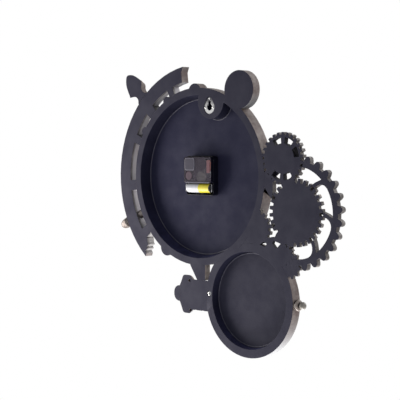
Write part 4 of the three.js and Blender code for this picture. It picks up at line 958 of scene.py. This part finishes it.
def make_bezels():
    bezel("main_bezel", [(106, 0), (120, 0), (120, 3.6), (119.2, 4.6), (117.8, 5), (117.6, 6.4), (117.2, 9.5),
                         (116.2, 11.3), (114.4, 12.7), (112.4, 13), (110.6, 12.6), (109.2, 11.2), (108.6, 9.8),
                         (107.9, 9.4), (107.3, 8), (106.3, 4.4), (106, 3.2), (106, 0)], DIAL_SIDES)
    bezel("lower_bezel", [(59.1, 0), (70.1, 0), (70.1, 3.2), (69.4, 3.9), (68.3, 4.2), (67.6, 5.4), (66.2, 6),
                          (64.2, 5.8), (62.8, 4.8), (62.2, 3.9), (60.4, 3.2), (59.1, 2.2), (59.1, 0)], 128)
    bezel("ear_bezel", [(13, 0), (17.5, 0), (17.5, 2.2), (16.9, 3), (16.6, 3.8), (15.6, 4), (14.6, 3.6),
                        (13.9, 2.4), (13, 1.6), (13, 0)], 72)


def gear_cap(node, radius):
    tall = depth_of(node)
    rings = [(1, 5), (1, 3.5), (0.97, 3), (0.9, 2.6), (0.83, 2.4), (0.8, 1.7), (0.52, 1.3), (0.44, 1.5), (0.4, 0.7),
             (0.32, 0.15), (0.14, 0)]
    face = [(3, 0), (3, tall - 5)] + [(radius * share, tall - drop) for share, drop in rings]
    # faces that do not look to the front take the dark hole-wall finish: painted shade in the cap's steps and on its
    # sides
    return lathe(node + "_turned", face, 72, TO_FRONT, seat_of(node), "brass", [FRONT_BRASS, HOLE_WALL_SHADE],
                 lambda normal, spot: normal.y > -0.3, [node])


def make_window_plate():
    # closes one window of the small gear, near its front, in the dark hole-wall finish: painted shade
    plate = bar("window_plate", (17 * MM, 11 * MM, 1.2 * MM), 1.5 * MM)
    settle(plate, (pi / 2, WINDOW_TURN - pi / 2, 0),
           on_ring(SMALL, WINDOW_RING, WINDOW_TURN, front_of("small_gear") + 1.6 * MM))
    return complete(plate, "casting_dark", [HOLE_WALL_SHADE])


def make_studs():
    rod = at(DIAL, middle_of("dome_knob").y)
    out = (0, pi / 2 + radians(25.3), 0)
    # the tie rod in the dark stud finish: painted shade of the slot it lies in
    lathe("tie_rod_turned", [(6, 133.3), (6.3, 134), (6.3, 143.6), (6, 144.4), (4.8, 144.6), (4.8, 168.2), (7.2, 168.3),
                             (8, 168.9), (8, 170.8), (7.4, 171.1), (7.4, 171.7), (8, 172), (8, 174.2), (7.4, 175)],
          STUD_SIDES, out, rod, "casting_bronze", [STUD_SHADE_BROWN], nodes=["tie_rod"])
    lathe("dome_knob_turned", [(7.2, 175.3), (7.8, 175.7), (7.8, 178.2), (7.6, 181), (7, 183.6), (6.1, 186),
                               (4.8, 187.8), (3, 188.9), (1.2, 189.35)],
          STUD_SIDES, out, rod, "casting_bronze", [STUD_PALE], nodes=["dome_knob"])
    crown = middle_of("crown_collar").y
    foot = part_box("crown_ball")[1].x

    # the collar's groove and neck take the dark stud finish: painted shade in the groove
    def in_groove(normal, spot):
        off = Vector((0, spot.y - crown, spot.z - LOW.z)).length
        return off < 4.8 * MM or (off < 7.6 * MM and LOW.x - spot.x < 86.5 * MM)
    lathe("crown_collar_turned", [(7.8, 83.8), (7.8, 84.5), (6.4, 84.7), (6.4, 85.9), (7.6, 86.2), (8, 86.9),
                                  (8, 88), (7.4, 88.9), (6.2, 89.5), (4.6, 89.8), (4.2, 90.3)],
          STUD_SIDES, TO_LEFT, at(LOW, crown), "casting_bronze", [CROWN_SILVER_LIT, STUD_SHADE_BROWN], in_groove,
          ["crown_collar"])
    # the ball's foot against the collar takes the dark stud finish: painted shade between the parts
    lathe("crown_ball_turned", [(3, 0), (3.9, 0.3), (4.2, 1.2), (5.1, 2), (5.6, 3.6), (5.55, 5), (5, 6.7), (3.9, 8),
                                (2.3, 8.9), (0.8, 9.2)],
          STUD_SIDES, TO_LEFT, (foot, crown, LOW.z), "casting_bronze", [CROWN_BALL_LIT, STUD_SHADE_BROWN],
          lambda normal, spot: foot - spot.x < 1.1 * MM, ["crown_ball"])


def half_round(node, profile):
    # turned about the valve's axis, pressed to half depth and sawn flat at the back
    piece = settle(turned(node + "_turned", mm(profile), 96), (0, 0, pi / 96))
    settle(piece, (0, pi / 2, 0), (LOW.x + LOW_R, 0, LOW.z))
    piece.scale = (1, 0.5, 1)
    settle(piece)
    work_on(piece, "VERT")
    take_all()
    bpy.ops.mesh.bisect(plane_co=(0, 0, 0), plane_no=(0, 1, 0), use_fill=True, clear_outer=True, threshold=SAW)
    put_down()
    for point in piece.data.vertices:
        point.co.y = min(point.co.y, 0)
    return weld(piece)


def make_valve():
    body = half_round("valve_body", [(22.4, -4), (23, -3), (23, 5), (22.4, 5.6), (22.4, 7), (23, 7.6), (23, 19.5),
                                     (22.4, 20.1), (22.4, 21.5), (23, 22.1), (23, 27)])
    wheel = half_round("valve_wheel", [(23.2, 27), (24.6, 28.6), (26.1, 30.6), (27.8, 32.4), (28.8, 34.2), (29, 36.5),
                                       (29, 42.5), (28.7, 45), (27.8, 47.3), (25.5, 48.9), (20.3, 51.1), (16, 53),
                                       (13.05, 54.7)])
    cap = half_round("valve_cap", [(12, 55), (11.9, 57), (11.5, 59), (10.6, 61.3), (9.2, 63.3), (7.3, 65),
                                   (5, 66.2), (2.2, 66.9)])
    case_round = turned("case_round", [(LOW_R, -4 * MM), (LOW_R, 40 * MM)], 256)
    carve(body, settle(case_round, TO_FRONT, at(LOW, 0)))
    for out, up in ((34.8, 21), (32.5, -24)):
        drill = turned("drill", mm([(2.4, -3), (2.4, 1)]), 24)
        carve(wheel, settle(drill, TO_REAR, (LOW.x + LOW_R + out * MM, 0, LOW.z + up * MM)))
    for node, piece in (("valve_body", body), ("valve_wheel", wheel), ("valve_cap", cap)):
        complete(piece, "casting_bronze", *back_and_side(FRONT_BRONZE), [node], angle=TURNED_SHARP)


# Fasteners

CASE_RIVET_RING, BAND_RIVET_RING, LOW_RIVET_RING = 126.5 * MM, 156.5 * MM, 76.5 * MM
GEAR_BOLT_RING = 29 * MM


def screw(node, head, head_tall, shank, slot):
    low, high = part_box(node)
    tall = depth_of(node)
    piece = turned(node + "_turned", mm([(shank, 0), (shank, tall - head_tall), (head, tall - head_tall),
                                         (head, tall - head_tall * 0.5), (head * 0.86, tall - head_tall * 0.2),
                                         (head * 0.6, tall - head_tall * 0.04), (head * 0.3, tall)]), 36)
    for turn in (0, pi / 2):
        blade = bar("blade", (head * 1.3 * MM, head * 0.3 * MM, head_tall * MM))
        settle(blade, (0, 0, turn + radians(20)), (0, 0, (tall - head_tall * 0.55) * MM))
        carve(piece, blade)
    centre = middle_of(node)
    settle(piece, TO_REAR, at(centre, low.y))

    def in_cross(normal, spot):
        sunk = high.y - spot.y
        deep = head_tall * 0.3 * MM < sunk < head_tall * 0.5 * MM + 0.3 * MM
        return deep and flat_reach(spot, centre) < head * 0.8 * MM
    # the cross slot takes the near-black wall finish: painted shade in the slot
    return complete(piece, slot, [CHROME, RECESS_WALL_SHADE], in_cross, [node], angle=TURNED_SHARP)


def rivet(radius, tall):
    return settle(turned("rivet", [(radius, -0.3 * MM), (radius, tall * 0.25), (radius * 0.86, tall * 0.62),
                                   (radius * 0.55, tall * 0.9), (radius * 0.2, tall)], 16), TO_FRONT)


def bolt(radius, tall):
    washer = turned("washer", [(radius * 1.35, -0.3 * MM), (radius * 1.35, 0.4 * MM), (radius * 1.2, 0.6 * MM)], 24)
    head = turned("head", [(radius, 0.3 * MM), (radius, tall * 0.8), (radius * 0.8, tall)], 6)
    return settle(gather([washer, head], "bolt"), TO_FRONT)


def spread(model, name, places, coating=FRONT_BRASS, slot="brass"):
    return complete(copies(model, name, places), slot, [coating], angle=TURNED_SHARP)


def make_fasteners():
    for node in ("hanger_screw_1", "hanger_screw_2"):
        screw(node, 1.9, 1.2, 0.9, "chrome")
    screw("rim_screw", 3.6, 1.7, 1.6, "steel")
    spread(rivet(2.6 * MM, 2.1 * MM), "case_rivets",
           around(DIAL, CASE_RIVET_RING, 24, front_of("main_case"), radians(7.5)))
    spread(rivet(3.2 * MM, 2.4 * MM), "band_rivets",
           around(DIAL, BAND_RIVET_RING, 9, front_of("slotted_arc") + BAND_PANEL, radians(-38), radians(122)))
    crest = middle_of("finial")
    lathe("finial_stud", [(8, -0.3), (8, 0.7), (7.2, 1.2), (6.2, 1.2), (5.6, 0.9), (5.2, 1.4), (4.2, 2.1), (2.6, 2.6),
                          (0.9, 2.8)],
          40, TO_FRONT, (crest.x + 3 * MM, front_of("finial"), crest.z + 3 * MM), "brass", [FRONT_BRASS], angle=SHARP)
    spread(bolt(2.6 * MM, 2.6 * MM), "gear_bolts", around(BIG, GEAR_BOLT_RING, 6, front_of("big_gear"), radians(30)),
           FRONT_IRON, "casting_bronze")
    rim = around(LOW, LOW_RIVET_RING, 18, front_of("lower_case"), radians(5))
    spread(rivet(2.2 * MM, 1.9 * MM), "lower_rivets",
           [place for place in rim if (Vector(place[:3]) - DIAL).length > CASE_R + 6 * MM])
    low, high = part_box("link_strap")
    strap_x = (low.x + high.x) / 2 - 3 * MM
    spread(bolt(2.4 * MM, 2.4 * MM), "strap_bolts",
           [(strap_x, low.y, low.z + 8 * MM, 0), (strap_x + 3 * MM, low.y, low.z + 16 * MM, 0)],
           FRONT_IRON, "casting_bronze")


def make_hanger():
    plate = casting("hanger_plate", "hanger_keyhole")
    soften(plate, 0.45 * MM, 3)
    # the keyhole plate bright at the bottom and dark at the top: painted highlight and shade
    nickel = tarnished("hanger_nickel", (200, 200, 200), (70, 70, 74), -12 * MM, 3 * MM)
    complete(plate, "chrome", [nickel], nodes=["hanger_plate"])
    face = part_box("hanger_plate")[1].y
    spread(settle(rivet(1.5 * MM, 0.7 * MM), (pi, 0, 0)), "hanger_rivet", [(0, face, 3.3 * MM)], CHROME, "chrome")


# Dials and hands

NUMERAL_RING, HOUR_MARK_RING, MINUTE_MARK_RING = 83 * MM, 99 * MM, 99.8 * MM
PRINT = 0.1 * MM
GAUGE_SWEEP = radians(270)


def lettering(word, size, thick):
    put_down()
    bpy.ops.object.text_add()
    text = bpy.context.object
    text.data.body = word
    text.data.size = size
    text.data.align_x = "CENTER"
    text.data.align_y = "CENTER"
    text.data.extrude = thick / 2
    text.data.resolution_u = 3
    bpy.ops.object.convert(target="MESH")
    return weld(bpy.context.object)


def ring_print(words, centre, radius, y, size, start, step, name):
    marks = []
    for i, word in enumerate(words):
        turn = start + step * i
        mark = lettering(word, size, 0.3 * MM)
        mark.rotation_euler = (pi / 2, turn, 0)
        mark.location = (centre.x + radius * sin(turn), y, centre.z + radius * cos(turn))
        marks.append(mark)
    return fit(coat(gather(marks, name), [NUMERAL_INK]))


def hour_track():
    front = front_of("dial_plate")
    hours = ["XII", "I", "II", "III", "IV", "V", "VI", "VII", "VIII", "IX", "X", "XI"]
    ring_print(hours, DIAL, NUMERAL_RING, front - PRINT, 20 * MM, 0, pi / 6, "dial_numerals")
    long = settle(bar("long_mark", (5 * MM, 1.8 * MM, 0.4 * MM)), TO_FRONT)
    short = settle(bar("short_mark", (3.4 * MM, 0.7 * MM, 0.35 * MM)), TO_FRONT)
    minutes = around(DIAL, MINUTE_MARK_RING, 60, front + PRINT)
    spread(long, "hour_marks", around(DIAL, HOUR_MARK_RING, 12, front + PRINT), NUMERAL_INK, "hand_black")
    spread(short, "minute_marks", [place for i, place in enumerate(minutes) if i % 5], NUMERAL_INK, "hand_black")
    for name, radius in (("outer_track", 102.4), ("inner_track", 95.6), ("chapter_line", 68)):
        lathe(name, [(radius - 0.3, -0.1), (radius + 0.3, -0.1), (radius + 0.25, 0.25), (radius - 0.25, 0.25),
                     (radius - 0.3, -0.1)],
              DIAL_SIDES, TO_FRONT, at(DIAL, front), "hand_black", [NUMERAL_INK], angle=SHARP, ring=True)


def gauge_scale(node, centre, radius, size, count, prefix, words):
    front = front_of(node)
    mark = settle(bar("mark", (radius * 0.11, radius * 0.022, 0.35 * MM)), TO_FRONT)
    places = around(centre, radius * 0.9, count, front + PRINT, radians(-45), GAUGE_SWEEP * count / (count - 1))
    spread(mark, prefix + "_marks", places, NUMERAL_INK, "hand_black")
    if words:
        ring_print(words, centre, radius * 0.7, front - PRINT, size, -GAUGE_SWEEP / 2, GAUGE_SWEEP / (len(words) - 1),
                   prefix + "_numbers")


def recoat(coating, *nodes):
    for node in nodes:
        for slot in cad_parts[node].material_slots:
            slot.material = coating


def dressed(node, slot, coating, width, body="clock", keep=None):
    piece = soften(casting(node, node + "_dressed"), width, keep=keep)
    return complete(piece, slot, [coating], nodes=[node], body=body)


def make_dials():
    recoat(DIAL_PAPER, "dial_plate")
    recoat(LOW_PAPER, "lower_dial")
    recoat(EAR_PAPER, "ear_dial")
    hour_track()
    gauge_scale("lower_dial", LOW, LOW_DIAL_R, 9 * MM, 41, "lower_gauge", [str(n) for n in range(0, 11)])
    gauge_scale("ear_dial", EAR, 12.7 * MM, 2 * MM, 13, "ear_gauge", [])
    dressed("hour_hand", "hand_black", HAND_BLACK, 0.22 * MM, "hours")
    dressed("minute_hand", "hand_black", HAND_BLACK, 0.22 * MM, "minutes")
    dressed("second_hand", "hand_red", HAND_RED, 0.15 * MM, "seconds")
    dressed("lower_pointer", "hand_red", HAND_RED, 0.15 * MM)
    dressed("ear_pointer", "hand_red", HAND_RED, 0.1 * MM)
    for node in ("lower_pin", "ear_pin"):
        tall = depth_of(node)
        lathe(node + "_turned", [(1.6, 0), (1.6, tall - 1.2), (3.2, tall - 1.2), (3.1, tall - 0.8), (2.5, tall - 0.35),
                                 (1.4, tall - 0.08), (0.5, tall)],
              32, TO_FRONT, seat_of(node), "brass", [BRASS], nodes=[node])
    lathe("second_boss", [(3.6, -0.2), (3.6, 0.5), (3.2, 1), (2.2, 1.4), (0.8, 1.55)], 32, TO_FRONT,
          at(DIAL, front_of("second_hand")), "brass", [BRASS], body="seconds", angle=SHARP)
    dressed("hex_nut", "brass", BRASS, 0.4 * MM)
    dressed("brass_washer", "brass", BRASS, 0.15 * MM)


# Movement

BOX_CORNER = 4 * MM
CASE_HEAD, COVER_HEAD = 3.2 * MM, 1.6 * MM


def box_corner(edge, low, high):
    along = edge.verts[1].co - edge.verts[0].co
    if abs(along.y) < 0.9 * along.length:
        return False
    spot = edge.verts[0].co
    near_x = min(abs(spot.x - low.x), abs(spot.x - high.x)) < LEVEL
    near_z = min(abs(spot.z - low.z), abs(spot.z - high.z)) < LEVEL
    return near_x and near_z


def plastic_box(node, coating, head, sides=None):
    # head raises the top wall; sides is the finish of the outer walls, where it differs
    low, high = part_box(node)
    piece = casting(node, node + "_moulded")
    mesh = work_on(piece, "VERT")
    choose(piece, mesh, mesh.verts, lambda point: point.co.z > high.z - 1.5 * MM)
    bpy.ops.transform.translate(value=(0, 0, head))
    put_down()
    top = high + Vector((0, 0, head))
    round_edges(piece, BOX_CORNER, 6, lambda edge: box_corner(edge, low, top))

    def from_wall(spot):
        return min(spot.x - low.x, top.x - spot.x, spot.z - low.z, top.z - spot.z)

    def inside(edge):
        spot = (edge.verts[0].co + edge.verts[1].co) / 2
        return from_wall(spot) > 2.5 * MM and low.y + LEVEL < spot.y < top.y - LEVEL
    soften(piece, 0.3 * MM, keep=inside)

    def outer_wall(normal, spot):
        return abs(normal.y) < 0.6 and from_wall(spot) < 1.1 * MM
    return complete(piece, "smoke_plastic", [coating, sides] if sides else [coating], sides and outer_wall, [node])


def make_cell():
    low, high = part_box("battery")
    centre = (low + high) / 2
    long = (high.x - low.x) / MM
    reach = (high.z - low.z) / 2 / MM
    jacket = cell_jacket("cell_film", centre.x, low.x + 3.6 * MM)

    def bare_end(normal, spot):
        return spot.x < low.x + 1.95 * MM or spot.x > high.x - 0.5 * MM
    lathe("battery_cell", [(4.6, 0), (5.9, 0.1), (6.4, 0.35), (6.75, 0.8), (reach, 1.4), (reach, long / 2),
                           (reach, long - 3.4), (6.8, long - 2.6), (6.3, long - 2.1), (5.9, long - 1.9),
                           (5.6, long - 2.1), (3.4, long - 2.1), (2.75, long - 1.9), (2.7, long - 0.5),
                           (2.3, long - 0.1), (1.4, long)],
          56, TO_LEFT, (high.x, centre.y, centre.z), "cell_jacket", [jacket, STEEL], bare_end, ["battery"], "cell")


def cover_bar(name, size, corner, x, z, y, coating):
    mark = bar(name, [length * MM for length in size], corner * MM)
    settle(mark, TO_REAR, (x, y, z))
    return complete(mark, "smoke_plastic", [coating])


def make_cover_marks():
    low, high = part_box("movement_rear_cover")
    rear = high.y - 0.2 * MM
    panel_x, panel_z = high.x - 11.8 * MM, high.z - 9.4 * MM
    # the panel's light rim and the cover's light lower edge are painted highlights
    cover_bar("panel_rim_highlight", (20, 18.4, 0.5), 3.4, panel_x, panel_z, rear, SMOKED_HIGHLIGHT)
    cover_bar("panel_face", (18.4, 16.8, 0.6), 2.8, panel_x, panel_z, rear, SMOKED_PANEL)
    cover_bar("coil_window", (6.4, 19, 0.4), 0.8, low.x + 5.6 * MM, high.z - 12.6 * MM, rear, COIL_WINDOW)
    cover_bar("cover_edge_highlight", (50, 1, 0.6), 0.4, high.x - 28 * MM, low.z + 1.2 * MM, rear - 0.1 * MM, SMOKED_HIGHLIGHT)
    lathe("cover_dot", [(1.2, -0.3), (1.2, 0.1), (0.9, 0.3), (0.5, 0.15), (0.2, 0.1)], 24, TO_REAR,
          (low.x + 10.6 * MM, high.y, high.z - 1.8 * MM), "smoke_plastic", [BLACK_CASE], angle=SHARP)


def make_movement():
    plastic_box("movement_front_case", BLACK_CASE, CASE_HEAD)
    plastic_box("movement_rear_cover", SMOKED, COVER_HEAD, BLACK_CASE)
    make_cover_marks()
    dressed("setting_knob", "knob_plastic", KNOB_BROWN, EDGE, "setting",
            lambda edge: min(point.co.y for point in edge.verts) < -4 * MM)
    make_cell()
    recoat(WIRE, "coil")
    recoat(STEEL, "stator", "contact_plus", "contact_minus")
    recoat(NYLON, "rotor", "intermediate_wheel", "seconds_wheel", "third_wheel", "centre_wheel", "motion_wheel",
           "hour_wheel")
    recoat(BRASS, "cannon_pinion")
    recoat(BOARD, "circuit_board")
    recoat(RUBBER, "movement_gasket")


set_camera()
set_light()
lay_floor()
make_castings()
make_pinion_wheel()
make_web_fillet()
make_rim_scallops()
make_beads()
make_bezels()
gear_cap("middle_gear_cap", 19)
gear_cap("small_gear_cap", 20.5)
make_window_plate()
make_studs()
make_valve()
make_fasteners()
make_hanger()
make_dials()
make_movement()

bpy.context.scene.view_settings.view_transform = "Standard"
